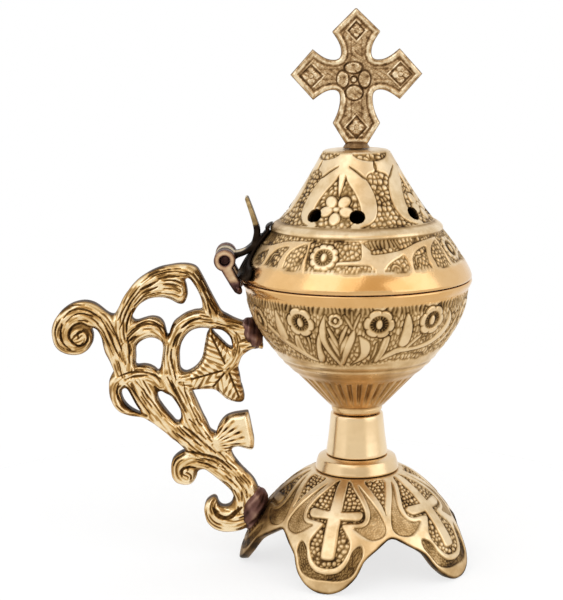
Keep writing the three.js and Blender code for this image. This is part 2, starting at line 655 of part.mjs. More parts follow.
// Each strand as [outward, height, half width] points
const strands = {
  volute: [[73.3, 59.5, 2.6], [74.6, 65, 2.8], [76.2, 70, 3], [78, 74.5, 3.1], [80.8, 78.6, 3.2],
    [85.3, 81, 3.1], [89.4, 80.2, 2.9], [92.5, 77.6, 2.6], [93.6, 74.1, 2.4], [92.4, 71, 2.1],
    [89, 69.4, 1.8], [86.1, 70.1, 1.6], [84.7, 72.6, 1.4], [85.6, 74.8, 1.3]],
  voluteEye: [[88.6, 72.4, 1.9], [87.4, 73, 2.6], [86.4, 73.8, 1.9]],
  arch: [[71.3, 60, 2.4], [71.4, 65, 2.4], [72.4, 70, 2.6], [73.3, 75, 2.9], [73, 79.6, 3.3],
    [70.6, 85, 3.1], [67.3, 89.6, 2.7], [63.4, 92.3, 2.4], [59.4, 93.6, 2.1], [55.4, 94, 2.1],
    [52, 93.3, 2.2], [49.6, 90.6, 2], [47.9, 87, 2], [46.6, 83.8, 2.4], [45.2, 80.4, 2.8], [44.2, 77.6, 2.2]],
  innerLeaf: [[70.4, 83, 1.6], [66.8, 87.2, 2.4], [62.6, 88.8, 3.2], [58.6, 88.9, 3.6], [55.6, 87.8, 3.4]],
  curlLeaf: [[73.6, 70, 2.2], [70.4, 74.4, 2.9], [66.6, 76.3, 3.4], [63, 75.6, 3], [60.8, 73, 2.2],
    [60.2, 69, 1.4]],
  middle: [[57, 57, 2.6], [58.6, 62, 2.9], [58.9, 67, 2.9], [58.2, 71.5, 2.5], [56.3, 75, 2.4],
    [53.4, 77.6, 2.5], [50, 78.8, 2.6], [46.5, 78.4, 2.5], [43, 77.4, 2.3], [39.5, 76.4, 2.3],
    [36, 75.4, 2.6], [31, 74.6, 3], [28.4, 74, 3]],
  loop: [[40.4, 75.6, 1.7], [38.3, 73.4, 1.7], [37.5, 71, 1.8], [37.6, 68, 1.8], [39, 65, 1.8],
    [41, 62.6, 1.5]],
  root: [[38, 70.2, 1.9], [34.5, 70.9, 2.3], [30, 71.7, 2.8], [27, 72.2, 2.8]],
  trunkOuter: [[69.6, 59, 2.8], [66.8, 53, 3.1], [63.1, 48.2, 3.2], [59.5, 44.2, 3.2], [55.6, 40.2, 3.3],
    [51, 36.4, 3.3], [46.4, 32.4, 3.3], [41.8, 28.5, 3.2], [38.2, 24.5, 2.9], [36.4, 20, 2.6],
    [36.4, 16, 2.4]],
  trunkInner: [[58.6, 60.5, 2.9], [56, 55.5, 3.3], [53.9, 51, 3.4], [52.2, 47, 3.6], [49.8, 42, 3.5],
    [46.2, 37.5, 3.3], [42.4, 33, 3.2], [38.4, 29.2, 3], [35.2, 25.2, 2.9], [33.6, 21, 2.9],
    [32.6, 17, 3.2], [31.2, 14.4, 2.6]],
  lowerCurl: [[42.6, 30, 2.2], [47.5, 32.2, 2.5], [52, 33, 2.5], [55.6, 31.6, 3], [56, 28.6, 3.4],
    [54.4, 27.4, 3.2]],
  hook: [[31, 14.6, 2.8], [34.6, 13.9, 3.4], [37.6, 13, 3.8], [41.3, 12.8, 4], [44.8, 13.9, 3.6],
    [46.6, 16.3, 2.5], [46.4, 18.6, 1.7], [45.9, 19.6, 1]],
  band: [[62, 57.6, 1.8], [64.6, 60.6, 2.5], [69, 61.5, 2.8], [73.2, 59.8, 2.5], [76, 57.4, 2.4],
    [76.7, 54.4, 2], [75.9, 51.6, 1.9], [73.6, 49.4, 1.7], [70.4, 48.6, 1.6], [67, 47.6, 1.4]],
  leafStem: [[56, 58.4, 2.2], [51, 59, 2.9], [46, 60, 3.4], [41, 62, 3.4]],
  leafUp: [[41.4, 62.4, 3.4], [43.6, 66.2, 4.4], [45.4, 70.2, 3], [46.1, 73.4, 1]],
  leafDown: [[41, 62.4, 3.2], [40.2, 58.4, 3.6], [38.6, 55, 2.8], [37, 52.6, 1.3]],
  fan: [[46.4, 37.6, 1.6], [43.4, 39.7, 3.2], [40.2, 41.4, 4.9], [37.2, 42.2, 5.8]],
};
const handleCasting = joined(Object.values(strands)
  .map((points) => strand(points.map(onBody), handleThickness / 2)));
const handle = handleCasting.subtract(bowlBlank(fit)).subtract(footBlank(fit));
place('handle', geometryOf(handle), handleBrass);

// The origin lies under the middle of the whole object: the handle's far scroll to the far side of the rim
const handleReach = -handle.boundingBox().min[0];
censer.position.x = (handleReach - rimRadius) / 2;

export default censer;
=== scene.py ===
# %% [markdown]
# A brass hand censer.
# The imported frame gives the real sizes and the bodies: the base, and the lid that turns on its hinge. This
# script gives every visible piece its cast, chased or turned surface. All lengths below are in millimetres in
# the censer's own axes (Z up through the tie rod, the handle towards -X), and make_mesh turns them to metres
# in the frame.

import bpy
import numpy as np
from mathutils import Matrix, Vector


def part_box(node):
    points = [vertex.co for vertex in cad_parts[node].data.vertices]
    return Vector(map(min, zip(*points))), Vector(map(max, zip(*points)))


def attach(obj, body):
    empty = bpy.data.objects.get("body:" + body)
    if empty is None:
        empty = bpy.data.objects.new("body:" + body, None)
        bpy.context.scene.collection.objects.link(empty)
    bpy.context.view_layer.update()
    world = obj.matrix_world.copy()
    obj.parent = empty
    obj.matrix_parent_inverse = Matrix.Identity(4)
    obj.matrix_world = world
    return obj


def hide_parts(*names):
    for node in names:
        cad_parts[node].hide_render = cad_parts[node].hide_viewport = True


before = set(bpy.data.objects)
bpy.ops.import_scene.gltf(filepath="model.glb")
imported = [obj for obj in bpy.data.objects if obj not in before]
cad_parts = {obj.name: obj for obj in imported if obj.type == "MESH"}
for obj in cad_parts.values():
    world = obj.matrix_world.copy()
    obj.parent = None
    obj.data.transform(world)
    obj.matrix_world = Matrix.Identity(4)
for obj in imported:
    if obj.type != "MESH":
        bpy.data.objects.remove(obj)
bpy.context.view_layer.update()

MM = 0.001
# The upright axis of the body lies off the frame's origin, because the handle counts in the object's middle
bowl_low, bowl_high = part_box("bowl")
AXIS_X = (bowl_low.x + bowl_high.x) / 2 / MM
RIM_RADIUS = (bowl_high.x - bowl_low.x) / 2 / MM
RIM_Z = bowl_high.z / MM
HINGE = ((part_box("hinge_pin")[0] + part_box("hinge_pin")[1]) / 2) / MM
HINGE_X = HINGE.x - AXIS_X
HINGE_Z = HINGE.z
print("axis", round(AXIS_X, 3), "rim", round(RIM_Z, 2), "hinge", round(HINGE_X, 2), round(HINGE_Z, 2))


def srgb(code):
    """A hex colour as linear red, green, blue and alpha."""
    part = np.array([int(code[i:i + 2], 16) / 255 for i in (1, 3, 5)])
    linear = np.where(part <= 0.04045, part / 12.92, ((part + 0.055) / 1.055) ** 2.4)
    return (*linear, 1.0)


def lerp(a, b, t):
    return a + (b - a) * t


def smooth(x, low, high):
    """0 below low, 1 above high, and an S curve between."""
    t = np.clip((x - low) / (high - low), 0, 1)
    return t * t * (3 - 2 * t)


# %% [markdown]
# ## Meshes from arrays
# A turned or lobed wall is a grid: rows run up the profile, columns run round. The grid is filled as whole
# arrays, so a wall with 90,000 corners takes a blink. Each mesh also stores how high its relief stands, as an
# attribute called relief. The brass material reads it to lay dark patina in the low places.

# %% Mesh makers


def make_mesh(name, points, faces, attributes):
    """One mesh object from corner positions in millimetres and a list of face arrays, smooth shaded.
    attributes gives the values of each named attribute, one for each corner."""
    mesh = bpy.data.meshes.new(name)
    place = np.asarray(points, np.float64).copy()
    place[:, 0] += AXIS_X
    place *= MM
    sizes = np.concatenate([np.full(len(f), f.shape[1]) for f in faces])
    corners = np.concatenate([f.ravel() for f in faces]).astype(np.int32)
    starts = np.concatenate([[0], np.cumsum(sizes)[:-1]]).astype(np.int32)
    mesh.vertices.add(len(place))
    mesh.vertices.foreach_set("co", place.astype(np.float32).ravel())
    mesh.loops.add(len(corners))
    mesh.loops.foreach_set("vertex_index", corners)
    mesh.polygons.add(len(sizes))
    mesh.polygons.foreach_set("loop_start", starts)
    mesh.update(calc_edges=True)
    mesh.validate()
    mesh.polygons.foreach_set("use_smooth", np.ones(len(mesh.polygons), bool))
    for key, values in attributes.items():
        layer = mesh.attributes.new(key, "FLOAT", "POINT")
        layer.data.foreach_set("value", np.asarray(values, np.float32).ravel())
    obj = bpy.data.objects.new(name, mesh)
    bpy.context.scene.collection.objects.link(obj)
    print(name, len(mesh.vertices), "corners", len(mesh.polygons), "faces")
    return obj


def grid_faces(rows, columns, closed_rows=False):
    """Quads of a grid whose corner number is row * columns + column. The last column joins the first, and
    where closed_rows is set so does the last row."""
    r = np.arange(rows if closed_rows else rows - 1)
    c = np.arange(columns)
    rr, cc = np.meshgrid(r, c, indexing="ij")
    r1 = (rr + 1) % rows
    c1 = (cc + 1) % columns
    quads = np.stack([rr * columns + cc, rr * columns + c1, r1 * columns + c1, r1 * columns + cc], -1)
    return quads.reshape(-1, 4)


def round_wall(name, radius, height, relief, columns, polish_and_painted_reflection=0.0):
    """A closed wall round the axis from arrays of radius and height, each rows x columns. The rows run up the
    outside and down the inside, and the last row joins the first."""
    rows = radius.shape[0]
    angle = np.arange(columns) / columns * 2 * np.pi
    x = radius * np.cos(angle)
    y = radius * np.sin(angle)
    points = np.stack([x, y, np.broadcast_to(height, radius.shape)], -1).reshape(-1, 3)
    return make_mesh(name, points, [grid_faces(rows, columns, closed_rows=True)],
                     {"relief": np.broadcast_to(relief, radius.shape),
                      "polish_and_painted_reflection": np.broadcast_to(polish_and_painted_reflection, radius.shape)})


def resample(profile, spacing):
    """Points along a list of [radius, height] corners, one every spacing millimetres or less."""
    out = []
    for (r0, z0), (r1, z1) in zip(profile[:-1], profile[1:]):
        count = max(1, int(np.ceil(np.hypot(r1 - r0, z1 - z0) / spacing)))
        for i in range(count):
            out.append((lerp(r0, r1, i / count), lerp(z0, z1, i / count)))
    out.append(tuple(profile[-1]))
    return np.array(out)

# %% [markdown]
# ## Chased relief
# The founder's relief is smooth raised bands and petals over a sunk ground of pebbles. Each motif is drawn
# with a pen: a line whose half width changes along it. The points are given as (degrees round the piece,
# height), and the wall is unrolled to millimetres round and millimetres up the slope before distances are
# measured, so a band keeps its width where the wall narrows. One repeat is worked out and then laid all the
# way round.

# %% Drawing on a wall


def curve(points, per=5):
    """A smooth line through the points: between two of them the Catmull-Rom cubic, whose slope at each
    point is half the step from its neighbour before to its neighbour after."""
    p = np.asarray(points, float)
    p = np.vstack([2 * p[0] - p[1], p, 2 * p[-1] - p[-2]])
    t = (np.arange(per) / per)[None, :, None]
    a, b, c, d = (p[i:len(p) - 3 + i, None, :] for i in range(4))
    line = 0.5 * (2 * b + (c - a) * t + (2 * a - 5 * b + 4 * c - d) * t ** 2
                  + (3 * b - a - 3 * c + d) * t ** 3)
    return np.vstack([line.reshape(-1, p.shape[1]), p[-2]])


def closed_curve(points, per=3):
    """A smooth closed line: the Catmull-Rom cubic of curve(), led once round past its own start."""
    p = np.asarray(points, float)
    return curve(np.vstack([p[-2:], p, p[:2]]), per)[2 * per:-(1 + per)]


def pen(u, v, line):
    """Distance outside a drawn line of (u, v, half width) points, negative inside it: the nearest point of
    each piece of the line gives the distance, less the half width there."""
    best = np.full(np.shape(u), 1e9)
    for (u0, v0, h0), (u1, v1, h1) in zip(line[:-1], line[1:]):
        du, dv = u1 - u0, v1 - v0
        t = np.clip(((u - u0) * du + (v - v0) * dv) / (du * du + dv * dv + 1e-12), 0, 1)
        best = np.minimum(best, np.hypot(u - u0 - t * du, v - v0 - t * dv) - lerp(h0, h1, t))
    return best


def patch(u, v, outline):
    """Distance outside a closed outline, negative inside: the nearest edge gives the distance, and how
    often a ray to the right crosses the outline gives the side."""
    p = np.asarray(outline, float)
    best = np.full(np.shape(u), 1e9)
    inside = np.zeros(np.shape(u), bool)
    for (u0, v0), (u1, v1) in zip(p, np.roll(p, -1, axis=0)):
        du, dv = u1 - u0, v1 - v0
        t = np.clip(((u - u0) * du + (v - v0) * dv) / (du * du + dv * dv + 1e-12), 0, 1)
        best = np.minimum(best, np.hypot(u - u0 - t * du, v - v0 - t * dv))
        crosses = (v0 > v) != (v1 > v)
        inside ^= crosses & (u < u0 + (v - v0) * du / (dv if dv else 1e-12))
    return np.where(inside, -best, best)


def pebbles(turn, radius, slope, size, seed, wobble, bead=0.0):
    """Height 0 to 1 of punched grains. They lie in rings up the slope, each ring with as many grains as fit
    its girth, and each grain is moved a little at random. The height falls to 0 half way to the next grain,
    and where bead is 1 also at a fixed distance from the grain's own middle, so that the grain is round."""
    rings = int(slope.max() / size) + 4
    girth = np.interp((np.arange(rings) - 1) * size, slope[:, 0], radius[:, 0])
    counts = np.maximum(8, np.round(2 * np.pi * girth / size)).astype(int)
    moved = np.random.default_rng(seed).uniform(-wobble, wobble, (rings, counts.max() + 1, 2))
    share = (turn / 360) % 1
    ring = np.floor(slope / size).astype(int) + 1
    nearest = np.full(radius.shape, 1e9)
    second = np.full(radius.shape, 1e9)
    for up in (-1, 0, 1):
        row = np.clip(ring + up, 0, rings - 1)
        count = counts[row]
        here = np.floor(share * count + 0.5 * (row % 2)).astype(int)
        for side in (-1, 0, 1):
            column = (here + side) % count
            shift = moved[row, column]
            centre = (here + side + 0.5 - 0.5 * (row % 2) + shift[..., 0]) / count
            away = (share - centre + 0.5) % 1 - 0.5
            gap = np.hypot(away * 2 * np.pi * radius, slope - (row - 0.5 + shift[..., 1]) * size)
            second = np.minimum(second, np.maximum(gap, nearest))
            nearest = np.minimum(nearest, gap)
    return smooth((second - nearest) / size, 0.0, 0.55) * (1 - bead * smooth(nearest / size, 0.34, 0.62))


def hatching(turn, slope, pitch, slant, seed):
    """Height 0 to 1 of upright chisel strokes that lie pitch degrees apart and waver a little as they
    rise."""
    count = int(round(360 / pitch))
    moved = np.random.default_rng(seed).uniform(-0.35, 0.35, (count + 1, 2))
    place = (turn + slant * slope + 0.6 * np.sin(slope * 0.9 + turn * 0.35)) / 360 * count
    k = np.floor(place).astype(int) % count
    phase = place - np.floor(place)
    return smooth(np.abs(phase - 0.5 + 0.3 * moved[k, 0]) * 2, 0.1, 0.9)


class Wall:
    """A round wall unrolled for drawing: turn is degrees round from the front, towards +X, for each column.
    rows up the wall share one profile of radius and height, and slope is the way up it in millimetres."""

    def __init__(self, profile, columns, repeats, start):
        self.repeats = repeats
        self.period = 360 / repeats
        self.profile = np.asarray(profile, float)
        self.turn = (np.arange(columns) * 360 / columns + 90)[None, :]
        step = np.hypot(*np.diff(self.profile, axis=0).T)
        self.slope = np.concatenate([[0], np.cumsum(step)])[:, None]
        self.radius = self.profile[:, :1]
        self.height = self.profile[:, 1:]
        self.unit_turn = (self.turn[:, :columns // repeats] - start) % self.period + start
        self.rise = np.argsort(self.profile[:, 1])

    def unrolled(self, turn, z):
        """Millimetres round and up the slope of a point given in degrees and height."""
        order = self.rise
        r = np.interp(z, self.profile[order, 1], self.profile[order, 0])
        s = np.interp(z, self.profile[order, 1], self.slope[order, 0])
        return np.radians(turn) * r, s

    def outside(self, shape):
        """Distance outside one shape over one repeat, with its neighbours to the left and right counted
        too. A shape is a list of (degrees, height, half width) points, or of (degrees, height) for a filled
        outline."""
        p = np.asarray(shape, float)
        p = curve(p) if p.shape[1] == 3 else closed_curve(p)
        best = None
        for side in (-1, 0, 1):
            middle = p[:, 0].mean() + side * self.period
            away = np.radians(self.unit_turn - middle) * self.radius
            u, s = self.unrolled(p[:, 0] + side * self.period - middle, p[:, 1])
            slope = np.broadcast_to(self.slope, away.shape)
            if p.shape[1] == 3:
                found = pen(away, slope, np.stack([u, s, p[:, 2]], -1))
            else:
                found = patch(away, slope, np.stack([u, s], -1))
            best = found if best is None else np.minimum(best, found)
        return best

    def round(self, unit):
        """One repeat laid all the way round."""
        return np.tile(unit, (1, self.repeats))


# The relief of smooth metal, and in millimetres the moat round a raised shape and the shape's shoulder
PLAIN, MOAT, SHOULDER = 0.92, 0.5, 0.45


def chase(wall, ground, shapes, fields=()):
    """Relief 0 to 1: the ground, sunk to 0 in a narrow moat round each raised shape, and the shapes on top,
    each with its own level and a rounded shoulder. A shape is (level, points) or (level, points, vein),
    where a vein is a groove down the middle. Where fields are given as closed outlines, all this lies
    inside them only, and the metal outside them is smooth."""
    sunk = np.ones(ground.shape)
    top = np.zeros(ground.shape)
    for shape in shapes:
        away = wall.round(wall.outside(shape[1]))
        sunk = np.minimum(sunk, smooth(away, 0.05, MOAT))
        rise = smooth(-away, -0.12, SHOULDER) * shape[0]
        if len(shape) > 2:
            rise *= 1 - shape[2] * smooth(-away, 0.55, 1.1)
        top = np.maximum(top, rise)
    if not fields:
        return np.maximum(ground * sunk, top)
    depth = np.full(ground.shape, -1e9)
    for outline in fields:
        depth = np.maximum(depth, -wall.round(wall.outside(outline)))
    chased = np.maximum(ground * sunk * lerp(0.2, 1, smooth(depth, 0.1, 0.6)), top)
    return lerp(PLAIN, chased, smooth(depth, -0.14, 0.22))


def incise(wall, relief, lines):
    """The relief with thin dark lines cut into it, each a list of (degrees, height, half width) points."""
    for line in lines:
        relief = relief * (1 - 0.85 * smooth(-wall.round(wall.outside(line)), -0.22, 0.08))
    return relief


def closed_piece(name, radius, height, lift, tone, polish_and_painted_reflection=0.0):
    """A closed wall from arrays of radius and height, rows up the outside and down the inside. Every point
    moves out by lift along the wall's own normal, which is the step along the profile turned a quarter."""
    along = np.stack([np.roll(a, -1, 0) - np.roll(a, 1, 0) for a in (radius, height)])
    length = np.maximum(np.hypot(*along), 1e-9)
    r = radius + along[1] / length * lift
    z = height - along[0] / length * lift
    return round_wall(name, r, z, tone, radius.shape[1], polish_and_painted_reflection)

# %% [markdown]
# ## Finishes
# The censer is cast brass, which is copper with about a third of zinc. Chasing and years of handling keep
# the high places pale and bright, while the sunk ground holds brown oxide, soot and old polish. So one
# recipe serves all the brass: a colour ramp over the relief attribute, from dark to pale, broken up by a
# slow noise for uneven tarnish and a fine one for the grain of the sand mould. A second attribute marks the
# polished bands: it makes them smoother, and it paints on them a warm reflection of the room in front.
# Brass is a metal, so its IOR stays as it is.

# %% Brass


def add(tree, kind, inputs=None, **settings):
    """Adds one node to a tree. settings are its own options; inputs gives its sockets a value or a link."""
    node = tree.nodes.new(kind)
    for key, value in settings.items():
        setattr(node, key, value)
    for key, value in (inputs or {}).items():
        if isinstance(value, bpy.types.NodeSocket):
            tree.links.new(value, node.inputs[key])
        else:
            node.inputs[key].default_value = value
    return node


def ramp(tree, factor, stops):
    """A colour ramp with the given (position, hex colour) stops."""
    node = add(tree, "ShaderNodeValToRGB", {"Fac": factor})
    band = node.color_ramp
    while len(band.elements) < len(stops):
        band.elements.new(1)
    for element, (position, code) in zip(band.elements, stops):
        element.position = position
        element.color = srgb(code)
    return node.outputs["Color"]


def new_material(name):
    material = bpy.data.materials.new(name)
    material.use_nodes = True
    tree = material.node_tree
    return material, tree, tree.nodes["Principled BSDF"]


# Painted reflection: the warm colour laid on the polished bands in place of the warm room they would reflect
PAINTED_WARM_REFLECTION = "#DDB176"


def brass(name, stops, rough, tarnish=0.22, grain=0.02, spot_mm=6.0):
    """Brass whose colour runs through stops with the relief. rough is the roughness of low and high places,
    tarnish how far the slow noise shifts the colour, spot_mm how long its patches are, and grain the height
    of the mould's sand in millimetres."""
    material, tree, shader = new_material(name)
    where = add(tree, "ShaderNodeTexCoord").outputs["Object"]
    relief = add(tree, "ShaderNodeAttribute", attribute_name="relief").outputs["Fac"]
    slow = add(tree, "ShaderNodeTexNoise", {"Vector": where, "Scale": 1 / (spot_mm * MM), "Detail": 4.0,
                                            "Roughness": 0.6}).outputs["Fac"]
    shift = add(tree, "ShaderNodeMapRange", {"Value": slow, "From Min": 0.3, "From Max": 0.7,
                                             "To Min": -tarnish, "To Max": tarnish}, clamp=False)
    level = add(tree, "ShaderNodeMath", {0: relief, 1: shift.outputs["Result"]}, operation="ADD",
                use_clamp=True).outputs[0]
    polish_and_painted_reflection = add(tree, "ShaderNodeAttribute", attribute_name="polish_and_painted_reflection").outputs["Fac"]
    colour = add(tree, "ShaderNodeMix", {"Factor": polish_and_painted_reflection, "A": ramp(tree, level, stops), "B": srgb(PAINTED_WARM_REFLECTION)},
                 data_type="RGBA")
    tree.links.new(colour.outputs["Result"], shader.inputs["Base Color"])
    rough_of = add(tree, "ShaderNodeMapRange", {"Value": level, "To Min": rough[0], "To Max": rough[1]})
    sleek = add(tree, "ShaderNodeMapRange", {"Value": polish_and_painted_reflection, "To Min": 1.0, "To Max": 0.45})
    rough_of = add(tree, "ShaderNodeMath", {0: rough_of.outputs["Result"], 1: sleek.outputs["Result"]},
                   operation="MULTIPLY")
    tree.links.new(rough_of.outputs[0], shader.inputs["Roughness"])
    shader.inputs["Metallic"].default_value = 1.0
    fine = add(tree, "ShaderNodeTexNoise", {"Vector": where, "Scale": 1 / (0.7 * MM), "Detail": 3.0})
    bump = add(tree, "ShaderNodeBump", {"Height": fine.outputs["Fac"], "Distance": grain * MM,
                                        "Strength": 1.0})
    tree.links.new(bump.outputs["Normal"], shader.inputs["Normal"])
    return material


RELIEF_STOPS = [
    (0.0, "#35281A"), (0.12, "#62492B"), (0.3, "#8F7349"), (0.55, "#B99B70"), (0.8, "#D5BA90"),
    (1.0, "#E8D1AC")]
cast_brass = brass("cast brass, dark in the ground", RELIEF_STOPS, (0.55, 0.3))
turned_brass = brass("turned brass, hand polished", [(0.0, "#8C6A38"), (0.6, "#CEB085"), (1.0, "#EED5AE")],
                     (0.35, 0.22), tarnish=0.1, grain=0.006, spot_mm=11)
handle_brass = brass("cast brass, black in the grooves",
                     [(0.0, "#2A1D10"), (0.3, "#684B28"), (0.6, "#B28D58"), (0.82, "#DBBA84"),
                      (1.0, "#F8E8C8")], (0.55, 0.25), tarnish=0.12, grain=0.01)
cross_brass = brass("cast brass, browned", [(0.0, "#3E2C1A"), (0.4, "#836646"), (0.75, "#C0A580"),
                                            (1.0, "#F1E2C6")], (0.6, 0.33), tarnish=0.24, grain=0.04,
                    spot_mm=1.8)
black_brass = brass("brass blackened by the torch", [(0.0, "#120D0A"), (0.5, "#2C231C"), (0.66, "#57452F"),
                                                     (0.84, "#A08A62"), (1.0, "#CDB88F")],
                    (0.6, 0.4), tarnish=0.16, spot_mm=3.0)
ear_brass = brass("cast brass, singed at the foot",
                  [(0.0, "#33221F"), (0.3, "#6A4E4C"), (0.5, "#957862"), (0.75, "#C6A688"), (1.0, "#DFC8A8")],
                  (0.55, 0.34), tarnish=0.2, spot_mm=3.0)
braze = brass("braze metal, mauve brown", [(0.0, "#2B1B1A"), (0.6, "#745550"), (1.0, "#A08274")], (0.6, 0.45),
              tarnish=0.25)
iron = brass("mild steel, dull", [(0.0, "#3A3835"), (1.0, "#8B8A86")], (0.55, 0.42), tarnish=0.2)


def finish_with(obj, material, body, slot, *nodes):
    """Gives a piece its material and body, and hides the CAD nodes it stands for."""
    obj.data.materials.clear()
    obj.data.materials.append(material)
    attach(obj, body)
    if nodes:
        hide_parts(*nodes)


# %% [markdown]
# ## The bowl
# One casting, turned smooth at the rim and foot ring. From below: the foot ring, a cone of flutes, a ledge,
# two low rings, the chased belly and the plain rim band. The belly's ornament repeats on the back: daisies,
# a pair of leaves that spring from one root with chevron veins, smooth upright leaves, and long stems that
# sweep round to both sides, all on a ground of small upright punch marks.

# %% Bowl


def daisy(wall, turn, z, size, petals):
    """Distance outside a flower, and its relief: a raised oval eye, a dark ring of fine strokes round it, and
    pale petals whose edge swells once for each petal."""
    away = None
    for side in (-1, 0, 1):
        u, s = wall.unrolled(turn + side * wall.period, z)
        du = np.radians(wall.unit_turn - turn - side * wall.period) * wall.radius
        ds = np.broadcast_to(wall.slope - s, du.shape)
        rho, theta = np.hypot(du, ds), np.arctan2(ds, du)
        lobe = np.abs(np.cos(petals / 2 * theta + 0.4))
        edge = size * (0.86 + 0.14 * lobe ** 0.6)
        eye = 1 - smooth(np.hypot(du * 1.35, ds * 0.8), 0.2 * size, 0.3 * size)
        strokes = 0.42 * smooth(np.cos(17 * theta), -0.2, 0.7) * smooth(rho, 0.3 * size, 0.42 * size)
        petal = smooth(rho, 0.52 * size, 0.68 * size)
        split = 1 - 0.75 * (1 - smooth(lobe, 0.0, 0.3)) * smooth(rho, 0.66 * size, 0.84 * size)
        form = np.maximum(eye, np.maximum(petal * split, strokes) * (1 - smooth(rho - edge, -0.4, 0.15)))
        gap = rho - edge
        if away is None:
            away, relief = gap, form
        else:
            relief = np.where(gap < away, form, relief)
            away = np.minimum(away, gap)
    return wall.round(away), wall.round(relief)


def with_flowers(wall, relief, flowers, petals):
    """The relief with each (degrees, height, size) flower laid into it, inside a narrow dark moat."""
    for turn, z, size in flowers:
        away, flower = daisy(wall, turn, z, size, petals)
        relief = np.where(away < 0.6, np.maximum(flower, smooth(away, 0.1, 0.6) * relief), relief)
    return relief


BOWL_COLUMNS = 720
FLUTES = 34
ROD_BORE = 2.8
bowl_seat, belly_foot, belly_top = 48.1, 67.5, 88.3
belly_share = np.linspace(0, 1, 68)
belly = np.stack([lerp(25.2, 34.9, 1 - (1 - belly_share) ** 1.85),
                  lerp(belly_foot, belly_top, belly_share)], -1)
flutes = resample([(9.0, 50.9), (19.2, 61.5)], 0.66)
bead_band = resample([(21.4, 63.3), (24.9, 67.1)], 0.5)
bowl_outside = np.vstack([
    [(ROD_BORE, bowl_seat), (7.3, bowl_seat), (7.6, 48.3), (8.0, 49.2), (8.05, 49.9), (7.8, 50.4),
     (8.4, 50.7)],
    flutes, [(19.8, 61.9), (20.45, 62.35), (20.9, 62.8)], bead_band, belly,
    [(35.15, 88.65), (35.4, 89.05), (35.62, 89.45), (35.8, 89.85), (35.93, 90.25), (36, 90.7), (35.85, 91.0),
     (35.5, 91.1)]])
bowl_inside = np.array([
    (33.8, 91.1), (33.6, 90.7), (33.3, 88.6), (32.9, 84), (31.8, 78), (29.8, 74), (26.9, 70), (22.6, 66.2),
    (17.2, 61.8), (12.2, 57.6), (10.6, 56.3), (9.9, 56.1), (3.1, 56.1), (ROD_BORE, 55.8)])
bowl_profile = np.vstack([bowl_outside, bowl_inside])
bowl_wall = Wall(bowl_outside, BOWL_COLUMNS, 2, -100)

# The pair of leaves: an outer edge and nested veins to each side of the root
pair = [
    (1.0, [(-12.8, 66.4, 0.9), (-12.6, 68.8, 0.5), (-12.5, 70.6, 0.2)]),
    (0.95, [(-13.6, 68.6, 0.6), (-17.6, 72.3, 0.9), (-20.8, 76.6, 1.05), (-20.6, 80.6, 1.1),
            (-18.8, 84.8, 0.3)]),
    (0.95, [(-11.6, 69, 0.6), (-8.6, 73.4, 1.1), (-5.6, 77.6, 1.15), (-4, 80.4, 0.4)]),
    (0.9, [(-18.6, 85.0, 0.3), (-16.4, 82.2, 0.45), (-14.6, 80.2, 0.3)])]
pair += [(0.9, [(-13.1, z, 0.3), (-14.8, z + 2.8, 0.78), (-17.4, z + 6.4, 0.5)]) for z in (71.2, 74.4)]
pair += [(0.9, [(-12.2, z, 0.3), (-10.4, z + 2.8, 0.75), (-7.8, z + 6.0, 0.45)]) for z in (72.4, 75.6)]
pair += [(0.85, [(-8.8, 85.2, 0.3), (-6.8, 83.1, 0.5), (-4.9, 80.9, 0.35)]),
         (0.85, [(-1.2, 85.4, 0.3), (-2.8, 83.1, 0.5), (-4.2, 80.8, 0.35)]),
         (0.8, [(-5.1, 86.4, 0.3), (-5.0, 83.6, 0.4), (-4.8, 82.4, 0.2)])]
smooth_leaves = [
    (1.0, [(-6.8, 68.1), (-4, 69.1), (0, 70.1), (3.6, 71.6), (5, 73.6), (4.9, 75.8), (3.4, 77.1),
           (0.8, 78.1), (-1.6, 78.8), (-1.2, 76.6), (-0.7, 74.4), (-0.9, 72.2), (-2.6, 70.6), (-5.4, 69.3)]),
    (1.0, [(-27.8, 70.2), (-26.9, 73), (-25.6, 76), (-23, 79.1), (-22.3, 76.6), (-22.9, 73.6), (-22.4, 71),
           (-24, 69.2), (-27, 69.0)]),
    (1.0, [(21.2, 75), (21.4, 78), (21.9, 82), (22.6, 84.6), (23.9, 85.3), (26, 83.4), (27.6, 80.6),
           (28, 77.6), (27.2, 75.2), (24, 74.2)]),
    (1.0, [(-49.6, 76), (-50.1, 79.6), (-49, 83.4), (-47.6, 85.5), (-45.6, 83), (-44, 79.8), (-43.2, 76.6),
           (-45.8, 75.4)])]
